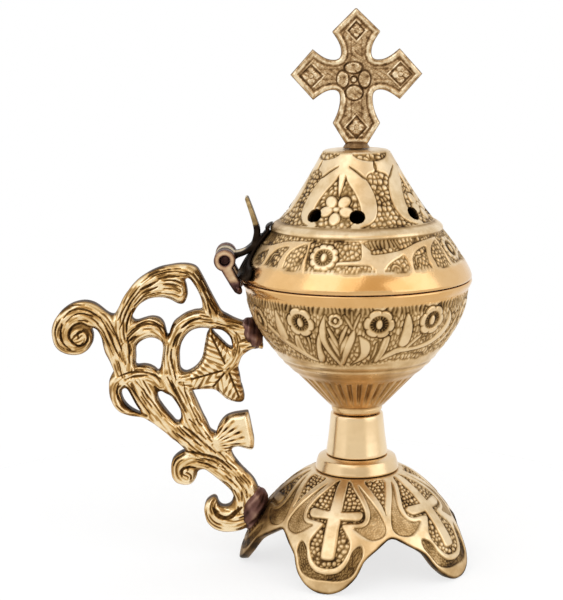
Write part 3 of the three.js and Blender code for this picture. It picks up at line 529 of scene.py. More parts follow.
stems = [
    (1.0, [(9.4, 69.8, 0.7), (11.6, 72.4, 1.1), (12.9, 75.2, 1.2), (13.6, 77.6, 1.1)], 0.2),
    (0.9, [(6.4, 70.6, 0.3), (7.8, 73, 0.5), (8.4, 76, 0.4)]),
    (1.0, [(12.4, 70.4, 0.7), (17, 72.0, 1.2), (22, 73.2, 1.3), (29, 73.2, 0.85), (37, 73.6, 0.9),
           (44, 74.6, 1.1), (50, 76.6, 1.4), (53.6, 79.2, 1.5), (54, 81.6, 1.1), (52, 84.4, 0.3)]),
    (0.95, [(27.6, 74.2, 0.6), (31.5, 76.4, 0.7), (34.4, 77.6, 0.4)]),
    (0.9, [(38.6, 75.3, 0.35), (37.7, 76.5, 0.5), (36.2, 76.1, 0.35)]),
    (1.0, [(-28.6, 69.4, 0.6), (-34, 70.9, 1.1), (-40, 72.9, 1.3), (-47, 74.9, 1.1), (-54, 77.6, 1.0),
           (-60, 80.6, 0.9), (-64, 84, 0.3)]),
    (0.95, [(-34.6, 71.2, 0.5), (-37.4, 74.2, 1.3), (-37.0, 77.0, 1.0)], 0.3),
    (0.9, [(-30, 78.0, 0.6), (-29.8, 75.4, 0.45), (-31, 72.6, 0.25)]),
    (1.0, [(48, 72.6, 0.3), (56, 74.6, 0.9), (61, 78.6, 0.9), (63.4, 83.6, 0.3)]),
    (0.95, [(64, 71.4, 0.5), (69, 75, 1.2), (71, 79.6, 0.7)], 0.3),
    (1.0, [(-56, 70.6, 0.3), (-64, 72.8, 1.0), (-71, 76.4, 1.1), (-75, 81.6, 0.9), (-76, 84.8, 0.3)]),
    (0.95, [(-92, 70, 0.5), (-87, 74, 1.3), (-86, 78.4, 0.9), (-87.4, 83.6, 0.3)], 0.3),
    (1.0, [(-96, 72, 0.4), (-98, 76.4, 1.1), (-97, 81, 0.6)], 0.3)]
drops = [
    (1.0, [(4.6, 88.6), (12.8, 88.6), (10.6, 86.2), (8.6, 84.9), (6.4, 86.4)]),
    (1.0, [(31.4, 88.6), (45.2, 88.6), (42, 86.9), (38.8, 85.4), (35.2, 86.6)])]
full_turn = np.broadcast_to(bowl_wall.turn, (len(bowl_outside), BOWL_COLUMNS))
full_slope = np.broadcast_to(bowl_wall.slope, full_turn.shape)
full_radius = np.broadcast_to(bowl_wall.radius, full_turn.shape)
punch = pebbles(full_turn, full_radius, full_slope * 0.52, 1.12, 5, wobble=0.42)
# Upright chisel strokes take over from the punch marks under the rim
strokes = hatching(full_turn, full_slope, 2.3, 0.0, 9)
under_rim = bowl_wall.slope[-12]
punch = lerp(punch, 0.75 * strokes - 0.2, smooth(full_slope, under_rim - 2.8, under_rim - 1.6))
relief = chase(bowl_wall, 0.25 + 0.68 * punch, pair + smooth_leaves + stems + drops)
relief = with_flowers(bowl_wall, relief, ((8.8, 82.2, 4.8), (39.5, 82.1, 4.9), (-32.8, 82.1, 4.8),
                                          (-66, 80.6, 4.4), (73.6, 81.8, 4.4)), 6)
relief = with_flowers(bowl_wall, relief, ((-13.4, 83.4, 2.3),), 5)
belly_z = bowl_wall.height
ragged = 0.5 * np.sin(np.radians(bowl_wall.turn * 44)) + 0.35 * np.sin(np.radians(bowl_wall.turn * 70 + 40))
turn_here = (bowl_wall.turn + 100) % 180 - 100
field_foot = np.interp(turn_here, [-100, -57, -45, -30, -14, 10, 20, 40, 50, 60, 80],
                       [69.5, 70, 69, 68.4, 67.8, 68.6, 69.3, 69.2, 70, 70.6, 69.5])
chased_share = smooth(belly_z, field_foot - 0.3, field_foot + 0.5 + 0.4 * ragged)
teeth_top = 86.9 + 0.3 * ragged + 0.7 * (1 - strokes)
chased_share = chased_share * (1 - smooth(belly_z, teeth_top, teeth_top + 0.5))
BARE = 0.84
BOWL_RELIEF_MM = 0.55
relief = lerp(BARE, relief, chased_share)
lift = BOWL_RELIEF_MM * (relief - BARE) * chased_share
flute_phase = bowl_wall.turn * FLUTES / 360
flute_rib = np.abs(flute_phase - np.round(flute_phase)) * 2
flute_share = smooth(belly_z, 51.4, 55.5) * (1 - smooth(belly_z + 1.3 * (1 - flute_rib) ** 2, 60.4, 61.9))
scoop = smooth(0.62 - flute_rib, 0.0, 0.5) * flute_share
lift = lift - 0.9 * scoop
# Painted shade: the cone of flutes, which faces down, is darker as a whole, and the ledge and bead band above
# it a little
cone_share = smooth(belly_z, 50.6, 51.2) * (1 - smooth(belly_z, 61.6, 63.6))
relief = relief - 0.26 * cone_share - 0.4 * scoop
relief = relief - 0.12 * smooth(belly_z, 61.6, 63.6) * (1 - smooth(belly_z, 66.6, 68.0))
# Two low rings: besides being high places, they are painted brighter as a highlight that their small lift
# does not catch
for line_z, width, height in ((65.1, 0.42, 0.24), (67.05, 0.6, 0.16)):
    ridge = np.exp(-((belly_z - line_z) / width) ** 2)
    lift = lift + height * ridge
    relief = relief + 0.16 * ridge
for line_z, depth in ((63.1, 0.3), (66.1, 0.22), (50.6, 0.5)):
    relief = relief - depth * np.exp(-((belly_z - line_z) / 0.32) ** 2)
bowl_lift = np.vstack([lift, np.zeros((len(bowl_inside), BOWL_COLUMNS))])
bowl_tone = np.vstack([np.clip(relief, 0, 1), np.full((len(bowl_inside), BOWL_COLUMNS), 0.3)])
# The polished bare metal is smoother and gets a painted warm reflection: the rim, and less so the ledge and
# the cone
bowl_polish_and_painted_reflection = 0.85 * smooth(bowl_profile[:, 1:], 87.2, 87.8) + 0.35 * (1 - smooth(bowl_profile[:, 1:], 62, 68))
bowl = closed_piece("bowl_casting", np.broadcast_to(bowl_profile[:, :1], bowl_lift.shape),
                    np.broadcast_to(bowl_profile[:, 1:], bowl_lift.shape), bowl_lift, bowl_tone, bowl_polish_and_painted_reflection)
finish_with(bowl, cast_brass, "base", "cast_brass", "bowl")

# %% [markdown]
# ## The lid
# A cast dome in three zones: a plain polished band, a low zone where a smooth scroll sends ribs down
# between leaf-shaped fields of pebbles, and above a smooth ring the steep zone with four arches. Each arch
# is a wishbone of broad smooth metal that springs from the crown and ends round two smoke holes. Between
# its legs a spike points down to a five-petalled rosette on pebbles, and more pebbles lie between the
# arches.

# %% Lid
LID_COLUMNS = 640
STUD_BORE = 2.1
lid_seat, lid_shoulder, ring_foot, ring_top, cone_top, crown_z = 91.4, 98.8, 106.6, 109.1, 130.5, 131.4
band_share = np.linspace(0, 1, 12)
lid_band = np.stack([lerp(36, 32.4, band_share ** 1.4), lerp(lid_seat + 0.3, lid_shoulder, band_share)], -1)
lid_band[0] = (35.9, 91.55)
low_share = np.linspace(0, 1, 34)[1:]
low_zone = np.stack([lerp(32.4, 26.7, low_share) + 0.8 * low_share * (1 - low_share),
                     lerp(lid_shoulder, ring_foot, low_share)], -1)
ring_share = np.linspace(0, 1, 11)[1:]
lid_ring = np.stack([lerp(26.7, 24.7, ring_share) + 0.85 * np.sin(np.pi * ring_share) ** 0.7,
                     lerp(ring_foot, ring_top, ring_share)], -1)
cone_rise = np.linspace(0, 1, 80)[1:]
cone = np.stack([lerp(24.7, 10.5, cone_rise ** 0.84), lerp(ring_top, cone_top, cone_rise)], -1)
lid_outside = np.vstack([[(33.8, 91.4), (35.6, 91.4)], lid_band, low_zone, lid_ring, cone,
                         [(10.1, 130.85), (9.6, 131.1), (8.4, 131.3), (6.3, 131.4), (STUD_BORE, crown_z)]])
lid_inside = np.array([(STUD_BORE, 128.3), (8.8, 128.3), (12, 124.5), (15.6, 119), (19.2, 113), (22.4, 108),
                       (24.9, 104.6), (28.2, 100.8), (30.2, 97.5), (32.2, 94.6), (33.4, 92.2), (33.6, 91.7)])
lid_profile = np.vstack([lid_outside, lid_inside])
lid_wall = Wall(lid_outside, LID_COLUMNS, 4, -65)
lid_z = lid_wall.height
lid_shape = (len(lid_outside), LID_COLUMNS)
lid_turn, lid_radius, lid_slope = (np.broadcast_to(a, lid_shape) for a in (lid_wall.turn, lid_wall.radius,
                                                                           lid_wall.slope))
MOTIF = -20.5


def mirrored(points):
    """A line of an arch, given in degrees from its middle, and its mirror image."""
    return [[(MOTIF + a, *rest) for a, *rest in points], [(MOTIF - a, *rest) for a, *rest in points]]


def whole(points):
    """An outline given by its right half, in degrees from the middle of an arch, closed by its mirror
    image."""
    right, left = mirrored(points)
    return right + left[::-1]


INNER_FIELD = [
    (3.3, 124.9), (7, 123.1), (10.5, 121.8), (15.5, 120.0), (18.5, 118.4), (20.8, 116.6), (21.8, 114.8),
    (20, 112.6), (16, 111.2), (13.5, 110.3), (12, 109.7)]
OUTER_HALF = [
    (22, 109.7), (27.5, 110.8), (32.5, 112.2), (35.6, 114.3), (36.6, 116.8), (35.6, 119.3), (32.6, 121.7),
    (29.3, 123.4), (33, 124.9), (40, 125.4), (45, 126.0)]
outer_field = [(MOTIF + a, z) for a, z in OUTER_HALF + [(90 - a, z) for a, z in OUTER_HALF[-2::-1]]]
crown_strip = [(MOTIF + a, z) for a, z in ((11, 130.7), (16, 129.7), (24, 129.0), (34, 128.6), (45, 128.4),
                                           (56, 128.6), (66, 129.0), (74, 129.7), (79, 130.7), (66, 131),
                                           (24, 131))]
upper_shapes = [(1.0, [(MOTIF, 126, 1.5), (MOTIF, 124.5, 1.3), (MOTIF, 122, 0.95), (MOTIF, 120, 0.6),
                       (MOTIF + 0.3, 118.4, 0.15)])]
ROSETTE_Z = 114.9
LEAN = 1.19
for degrees in (132, 48, -16, -90, 196):
    bearing = np.radians(degrees)
    petal = [(MOTIF + np.degrees(reach * np.cos(bearing) / 19.5),
              ROSETTE_Z + reach * np.sin(bearing) / LEAN, half)
             for reach, half in ((1.7, 0.8), (2.7, 1.7), (3.5, 1.85), (4.4, 1.0))]
    upper_shapes.append((0.95, petal))
upper_shapes.append((0.95, [(MOTIF - 0.9, ROSETTE_Z, 0.9), (MOTIF + 0.9, ROSETTE_Z, 0.9)]))
big_grain = pebbles(lid_turn, lid_radius, lid_slope, 1.7, 11, wobble=0.42, bead=0.5)
upper = chase(lid_wall, 0.14 + 0.76 * big_grain, upper_shapes, [whole(INNER_FIELD), outer_field, crown_strip])
upper = incise(lid_wall, upper, mirrored([(8.5, 126.9, 0.1), (15, 126.0, 0.2), (20.5, 125.1, 0.28),
                                          (26, 124.0, 0.28), (30, 123.4, 0.2)])
               + mirrored([(45, 125.6, 0.2), (43.6, 127, 0.25), (45.4, 128.5, 0.2)]))

LOW_FIELDS = [
    [(6, 106.7), (5.5, 103.7), (6.3, 102.6), (12, 102.7), (18, 103.0), (25, 103.5), (32, 104.4), (38, 105.1),
     (50, 105.7), (66, 106.0), (76, 106.1), (76, 106.7)],
    [(-31, 98.6), (-28, 97.7), (-16.5, 97.7), (-14, 99.8), (-13, 100.6), (-8, 100.8), (-2, 101.0), (0, 101.7),
     (0.3, 104), (-1, 106.2), (-14, 106.2), (-31, 106.2), (-32, 103)],
    [(-16.5, 97.6), (-14, 99.6), (-8, 99.9), (0, 99.9), (4.5, 99.6), (5.8, 98.6), (6.2, 97.6)],
    [(12.3, 97.6), (12.8, 98.6), (14.5, 99.7), (18, 100.8), (22, 101.6), (25.3, 102.0), (25.6, 97.6)],
    [(29.7, 97.6), (29.3, 99.8), (30.5, 101.5), (34, 102.9), (38, 103.6), (43.2, 103.9), (41, 101.5),
     (40.2, 99.5), (40, 97.6)],
    [(46, 97.6), (44.6, 99.6), (44.3, 101.2), (46, 102.8), (50, 104.2), (55.6, 105.0), (57, 103), (56.5, 100),
     (56, 97.6)]]
small_grain = pebbles(lid_turn, lid_radius, lid_slope * 0.72, 1.2, 23, wobble=0.48, bead=0.4)
marks = hatching(lid_turn, lid_slope, 2.4, 0.3, 7)
# Strokes fill the long field right of the flower, pebbles the others
in_long_field = smooth((lid_turn + 65) % 90 - 65, 3, 5) * smooth(lid_z, 104.0, 104.6)
low_ground = lerp(0.18 + 0.72 * small_grain, 0.14 + 0.5 * marks, in_long_field)
lower = chase(lid_wall, low_ground, [(0.85, [(31.6, 99.0, 0.25), (32.6, 101.2, 0.4), (36.6, 101.6, 0.3)]),
                                     (0.8, [(15.6, 98.2, 0.3), (18, 99.6, 0.4), (21.6, 98.6, 0.3)])],
              LOW_FIELDS)
lower = with_flowers(lid_wall, lower, ((-21.5, 101.8, 4.6),), 10)
edge_wave = 0.3 * np.sin(np.radians(lid_wall.turn * 12)) + 0.2 * np.sin(np.radians(lid_wall.turn * 28 + 20))
low_part = smooth(lid_z, 97.3 + edge_wave, 97.8 + edge_wave) * (1 - smooth(lid_z, 106.3, 106.6))
high_part = smooth(lid_z, 109.3, 109.7) * (1 - smooth(lid_z, 130.6, 130.9))
LID_RELIEF_MM = 0.5
lid_relief = lerp(lerp(PLAIN, lower, low_part), upper, high_part)
lid_lift = np.vstack([LID_RELIEF_MM * (lid_relief - PLAIN), np.zeros((len(lid_inside), LID_COLUMNS))])
for line_z, depth in ((106.65, 0.5), (109.3, 0.55)):
    lid_relief = lid_relief - depth * np.exp(-((lid_z - line_z) / 0.26) ** 2)
# The polished band gets a painted warm reflection, and so does the smooth scroll left of the flower
scroll = 0.45 * (1 - smooth(np.abs((lid_turn + 95) % 90 - 47), 14, 22)) * (1 - smooth(lid_z, 104.5, 106))
lid_polish_and_painted_reflection = np.maximum(0.8 * (1 - smooth(lid_z, 96.6, 97.8)), scroll * smooth(lid_relief, 0.8, 0.9))
# The torch that brazed the hinge's pad on browned the lid round it, at turn -90
from_pad = np.hypot(np.radians((lid_turn + 270) % 360 - 180) * lid_radius * 0.7, lid_z - 103)
lid_relief = lid_relief * lerp(0.5, 1.0, smooth(from_pad, 5, 12))
lid_tone = np.vstack([np.clip(lid_relief, 0, 1), np.full((len(lid_inside), LID_COLUMNS), 0.25)])
lid = closed_piece("lid_casting", np.broadcast_to(lid_profile[:, :1], lid_lift.shape),
                   np.broadcast_to(lid_profile[:, 1:], lid_lift.shape), lid_lift, lid_tone,
                   np.vstack([lid_polish_and_painted_reflection, np.zeros((len(lid_inside), LID_COLUMNS))]))

# %% Smoke holes


def drilled(obj, cutters):
    """Takes every cutter out of the piece, by a Boolean for each that is applied at once."""
    for cutter in cutters:
        cut = obj.modifiers.new("drill", "BOOLEAN")
        cut.operation = "DIFFERENCE"
        cut.solver = "MANIFOLD"
        cut.object = cutter
    ready = obj.evaluated_get(bpy.context.evaluated_depsgraph_get())
    mesh = bpy.data.meshes.new_from_object(ready)
    obj.modifiers.clear()
    old = obj.data
    obj.data = mesh
    bpy.data.meshes.remove(old)
    for cutter in cutters:
        bpy.data.objects.remove(cutter)
    print(obj.name, "drilled:", len(obj.data.vertices), "corners")


def peg(name, start, end, radius):
    """A closed round peg between two points in millimetres: two rings of corners and a cap at each end."""
    sides = 28
    start, end = np.asarray(start, float), np.asarray(end, float)
    axis = (end - start) / np.linalg.norm(end - start)
    side = np.cross(axis, (0.0, 1.0, 0.0) if abs(axis[1]) < 0.9 else (1.0, 0.0, 0.0))
    side /= np.linalg.norm(side)
    other = np.cross(axis, side)
    angle = np.arange(sides) / sides * 2 * np.pi
    ring = radius * (np.cos(angle)[:, None] * side + np.sin(angle)[:, None] * other)
    cap = np.arange(sides)[None, :]
    return make_mesh(name, np.vstack([start + ring, end + ring]),
                     [grid_faces(2, sides), cap[:, ::-1], cap + sides], {"relief": np.zeros(2 * sides)})


# Two holes to each arch, drilled about square to the steep wall: the hole's radius, its turn in degrees
# from the arch's middle, and the drill's lean in radians
HOLE_RADIUS, HOLE_TURN, DRILL_LEAN = 2.35, 18.5, 0.62
hole_z = ring_top + 3.7
hole_radius = np.interp(hole_z, cone[:, 1], cone[:, 0])
drills = []
for motif in range(4):
    for side in (-1, 1):
        turn = np.radians(MOTIF - 90 + 90 * motif + HOLE_TURN * side)
        out = np.array([np.cos(turn) * np.cos(DRILL_LEAN), np.sin(turn) * np.cos(DRILL_LEAN),
                        np.sin(DRILL_LEAN)])
        middle = np.array([np.cos(turn) * hole_radius, np.sin(turn) * hole_radius, hole_z])
        drills.append(peg("smoke_drill", middle - 6 * out, middle + 5 * out, HOLE_RADIUS))
drilled(lid, drills)
finish_with(lid, cast_brass, "lid_body", "cast_brass", "lid")

# %% [markdown]
# ## The foot
# A thin cast dome on five lobes. Between two lobes the edge rises in a pointed arch and the wall falls back
# in a groove. Each lobe carries a plain cross on pebbles inside a raised keyhole line, a finely grained
# panel at either side, a crescent of fine grain under it, and a plain toe. Pebbles fill the valley between
# two lobes.

# %% Foot
FOOT_COLUMNS = 640
FOOT_TOP = 29.4
HUB = 14.1
LOBES = 5
LOBE_PERIOD = 360 / LOBES
FOOT_RELIEF_MM = 0.55


def dome_radius(z):
    """The foot's radius: a dome that falls from the hub, steep at the toe."""
    return HUB + 23.9 * (1 - np.clip(z / FOOT_TOP, 0, 1) ** 1.54) ** (1 / 1.35)


foot_turn = np.arange(FOOT_COLUMNS) * 360 / FOOT_COLUMNS + 90
lobe_turn = (foot_turn - 90 - 180) * LOBES / 360
from_lobe = 2 * np.abs(lobe_turn - np.round(lobe_turn))
# The free edge of one half lobe as (degrees from the lobe's middle, height)
EDGE = curve([
    (0, 0), (2.5, 0.1), (5, 0.5), (7.5, 1.2), (10, 2.2), (12.5, 3.6), (15, 5.3), (17, 7.3), (18.6, 9.0),
    (20.2, 9.9), (22.4, 10.8), (26, 12.0), (30, 13.3), (33.5, 14.3), (36, 14.6)])
arch = np.interp(LOBE_PERIOD / 2 * from_lobe, EDGE[:, 0], np.maximum(EDGE[:, 1], 0))
groove = 1.6 * ((1 - np.cos(np.pi * from_lobe)) / 2) ** 1.5


def foot_radius(z):
    """The dome less the groove between lobes, which deepens from the hub to the arch."""
    return dome_radius(z) - groove * np.clip((FOOT_TOP - z) / (FOOT_TOP - 14), 0, 1)


rise = np.linspace(0, 1, 118)[:, None]
low_edge = arch + 0.5
# Rows are spaced evenly down the slope, which is flat near the hub and steep at the toe
FINE_ROWS = 400
fine_z = np.linspace(0, 1, FINE_ROWS)
slope_of = np.concatenate([[0], np.cumsum(np.hypot(np.diff(dome_radius(fine_z * FOOT_TOP)),
                                                   FOOT_TOP / (FINE_ROWS - 1)))])


def slope_at(z):
    """Millimetres up the dome's slope at a height."""
    return np.interp(z, fine_z * FOOT_TOP, slope_of)


wall_slope = lerp(slope_at(low_edge)[None, :], slope_of[-1], rise)
wall_z = np.interp(wall_slope, slope_of, fine_z * FOOT_TOP)
outside_r = foot_radius(wall_z)
lip = [(-1.2, 0.0), (-0.75, 0.03), (-0.35, 0.15), (-0.1, 0.35)]
edge_r = foot_radius(arch)[None, :]
lip_r = np.vstack([edge_r + dr - 0.05 for dr, dz in lip])
lip_z = np.vstack([arch[None, :] + dz for dr, dz in lip])
inside_share = np.linspace(0, 1, 10)[:, None]
inside_low = arch + 2.2
inside_z = lerp(26.2, inside_low[None, :], inside_share)
inside_r = foot_radius(np.minimum(inside_z + 1.65, FOOT_TOP)) - 1.87 - inside_share * 0.4
hub_r = np.vstack([np.full((1, FOOT_COLUMNS), r) for r in (9.0, ROD_BORE)])
foot_r = np.vstack([lip_r, outside_r, hub_r, np.full((1, FOOT_COLUMNS), ROD_BORE), inside_r,
                    edge_r - 2.6])
foot_z = np.vstack([lip_z, wall_z, np.full((2, FOOT_COLUMNS), FOOT_TOP), np.full((1, FOOT_COLUMNS), 26.2),
                    inside_z, arch[None, :] + 0.02])
LOBE = -18.0


class LobedWall(Wall):
    """The foot's outside, whose radius and slope change from column to column as well as from row to row."""

    def __init__(self):
        self.repeats, self.period = LOBES, LOBE_PERIOD
        one_lobe, half = FOOT_COLUMNS // LOBES, LOBE_PERIOD / 2
        self.turn = foot_turn[None, :]
        self.unit_turn = (self.turn[:, :one_lobe] - (LOBE - half)) % self.period + LOBE - half
        self.radius = outside_r[:, :one_lobe]
        self.slope = wall_slope[:, :one_lobe]

    def unrolled(self, turn, z):
        return np.radians(turn) * dome_radius(np.asarray(z, float)), slope_at(z)


foot_wall = LobedWall()


def lobe_outline(points):
    """An outline given by its right half in degrees from a lobe's middle, closed by its mirror image."""
    return [(LOBE + a, z) for a, z in points] + [(LOBE - a, z) for a, z in points[::-1]]


def both_sides(points):
    """A closed outline on one side of a lobe's middle, and its mirror image."""
    return [[(LOBE + a, z) for a, z in points], [(LOBE - a, z) for a, z in points]]


# The keyhole field round the cross, the panel at either side, the crescent under it, and the field between
# lobes
KEYHOLE = [
    (7, 29.2), (12, 27.8), (17.5, 25.4), (20.6, 22.9), (20.8, 21.2), (19.5, 20.0), (16, 19.5), (10.5, 19.5),
    (6.2, 19.1), (7.6, 17.9), (9.8, 16.4), (11.4, 14.8), (11.2, 13.0), (9.8, 11.2), (8, 9.6), (5.8, 8.4),
    (3, 7.7), (0, 7.5)]
PANEL = [
    (17, 28.5), (22, 27.0), (27, 24.8), (31, 22.2), (33.2, 19.5), (33.6, 17.5), (32, 16.1), (29, 15.3),
    (24, 15.0), (20, 15.9), (15.5, 17.4), (13, 18.5), (18, 18.6), (22, 19.4), (24.3, 21.2), (24.2, 23.2),
    (21.5, 25.8), (17.4, 27.9)]
CRESCENT = [
    (0, 4.2), (6, 4.3), (10.8, 5.1), (14.4, 6.7), (16.8, 9.0), (18.1, 11.4), (18.0, 13.4), (15.6, 13.8),
    (12.4, 12.3), (10.6, 9.8), (8.2, 7.8), (4.8, 6.5), (0, 6.0)]
VALLEY = [
    (25, 29.2), (29, 27.2), (32.5, 25.2), (35, 23.2), (36, 21.0), (37, 23.2), (39.5, 25.2), (43, 27.2),
    (47, 29.2)]
cross_shapes = [(1.0, [(LOBE, 29.6), (LOBE + 5.4, 29.4), (LOBE + 4.9, 25), (LOBE + 4.6, 20), (LOBE + 4.2, 15),
                       (LOBE + 3.9, 11), (LOBE + 2.8, 10), (LOBE, 9.8), (LOBE - 2.8, 10), (LOBE - 3.9, 11),
                       (LOBE - 4.2, 15), (LOBE - 4.6, 20), (LOBE - 4.9, 25), (LOBE - 5.4, 29.4)]),
                (1.0, [(LOBE - 15.5, 21.4, 1.75), (LOBE, 21.4, 1.5), (LOBE + 15.5, 21.4, 1.75)])]
wide_turn = np.broadcast_to(foot_turn[None, :], outside_r.shape)
wide_slope = np.broadcast_to(wall_slope, outside_r.shape)
foot_grain = pebbles(wide_turn, outside_r, wide_slope, 1.45, 31, wobble=0.34, bead=1.0)
fine_grain = pebbles(wide_turn, outside_r, wide_slope, 0.8, 37, wobble=0.45)
fields = [lobe_outline(KEYHOLE), [(LOBE + a, z) for a, z in VALLEY]]
foot_relief = chase(foot_wall, 0.1 + 0.74 * foot_grain, cross_shapes, fields)
panels = chase(foot_wall, 0.38 + 0.26 * fine_grain, [], both_sides(PANEL))
crescents = chase(foot_wall, 0.05 + 0.34 * fine_grain, [], [lobe_outline(CRESCENT)])
foot_relief = np.minimum(foot_relief, np.minimum(panels, crescents))
# The plain rim that follows the lobe's edge: distance from the free edge, up the slope and in from the
# side, where the 25 nearest columns to each side count
to_edge = wall_slope - slope_at(low_edge)[None, :]
for column_shift in range(0, 26):
    angle = column_shift * 360 / FOOT_COLUMNS
    for sign in (-1, 1):
        neighbour = np.roll(slope_at(low_edge), sign * column_shift)[None, :]
        reach = np.hypot(np.maximum(0, wall_slope - neighbour), np.radians(angle) * outside_r)
        reach = np.where(wall_slope < neighbour, np.radians(angle) * outside_r, reach)
        to_edge = np.minimum(to_edge, reach)
foot_relief = lerp(PLAIN, foot_relief, smooth(to_edge, 0.9, 1.3))
foot_relief = lerp(foot_relief, PLAIN, smooth(wall_slope, slope_of[-1] - 0.9, slope_of[-1] - 0.5))
# The toe, below about 5 mm, is darker than the rest
shine = lerp(0.72, 1.0, smooth(wall_z, 4.4, 6.5))
# The torch that brazed the handle on also singed the foot round the root, which lies at turn -90
round_to_root = np.radians((foot_turn[None, :] + 270) % 360 - 180) * outside_r
from_root = np.hypot(round_to_root, (wall_slope - slope_at(15)) * 0.8)
shine = shine * lerp(0.22, 1.0, smooth(from_root, 7, 20))
rows_before, rows_after = len(lip), len(foot_r) - len(lip) - len(outside_r)
foot_lift = np.vstack([np.zeros((rows_before, FOOT_COLUMNS)), FOOT_RELIEF_MM * (foot_relief - PLAIN),
                       np.zeros((rows_after, FOOT_COLUMNS))])
foot_lift[-rows_after - 1] = 0
# Painted shade: the metal darkens towards each lobe's free edge, and the lip under the edge is painted black
painted_edge_shade = smooth(to_edge, 0.05, 0.8)
foot_tone = np.vstack([np.full((rows_before, FOOT_COLUMNS), 0.0),
                       foot_relief * lerp(0.1, 1.0, painted_edge_shade) * shine,
                       np.full((rows_after, FOOT_COLUMNS), 0.15)])
# The pale toe gets a little of the painted warm reflection
foot = closed_piece("foot_casting", foot_r, foot_z, foot_lift, np.clip(foot_tone, 0, 1),
                    0.3 * smooth(foot_tone, 0.6, 0.75) * (1 - smooth(foot_z, 3.6, 4.6)))
finish_with(foot, cast_brass, "base", "cast_brass", "foot")

# %% [markdown]
# ## Collar and stem
# Both are turned on a lathe and polished, so they are plain smooth walls with a small round at each edge.

# %% Turned parts


def turned_piece(name, profile, columns=160, tone=0.85):
    """A smooth closed wall from a list of (radius, height) points, up the outside and down the bore."""
    rows = resample(profile, 0.6)
    r = np.broadcast_to(rows[:, :1], (len(rows), columns))
    z = np.broadcast_to(rows[:, 1:], (len(rows), columns))
    return closed_piece(name, r, z, np.zeros(r.shape), np.full(r.shape, tone))


collar = turned_piece("collar_turned", [
    (ROD_BORE, 29.7), (13.1, 29.7), (13.3, 29.85), (13.3, 30.2), (13.1, 30.8), (12.85, 31.8), (12.6, 32.7),
    (12.4, 33.25), (12.25, 33.5), (12.0, 33.65), (11.1, 34.0), (10.4, 34.22), (10.0, 34.3), (ROD_BORE, 34.3)],
    tone=0.8)
finish_with(collar, turned_brass, "base", "polished_brass", "collar")
stem = turned_piece("stem_turned", [
    (ROD_BORE, 34.6), (9.6, 34.6), (9.78, 34.7), (9.8, 34.95), (9.5, 37), (9.15, 39.5), (8.85, 42),
    (8.6, 44.5), (8.42, 46.5), (8.3, 47.4), (8.2, 47.7), (7.95, 47.8), (ROD_BORE, 47.8)], tone=0.95)
finish_with(stem, turned_brass, "base", "polished_brass", "stem")

# %% [markdown]
# ## The handle
# One flat casting of strands that branch like a vine: volutes, an arch, leaves and a loop, brazed to the
# bowl and to the foot. Its front is round at the edges and deeply cut, and its back is flatter. The whole
# face is one fine grid in X and Z. It is cut to a drawn outline with its holes, and its border corners are
# pushed onto the outline itself. The face swells inwards from the outline. It carries chisel cuts that run
# with the nearest strand, longer grooves, veins on the ivy leaf and rays on the fan.

# %% Plates cut from a fine grid


EDGE_ROWS = 3


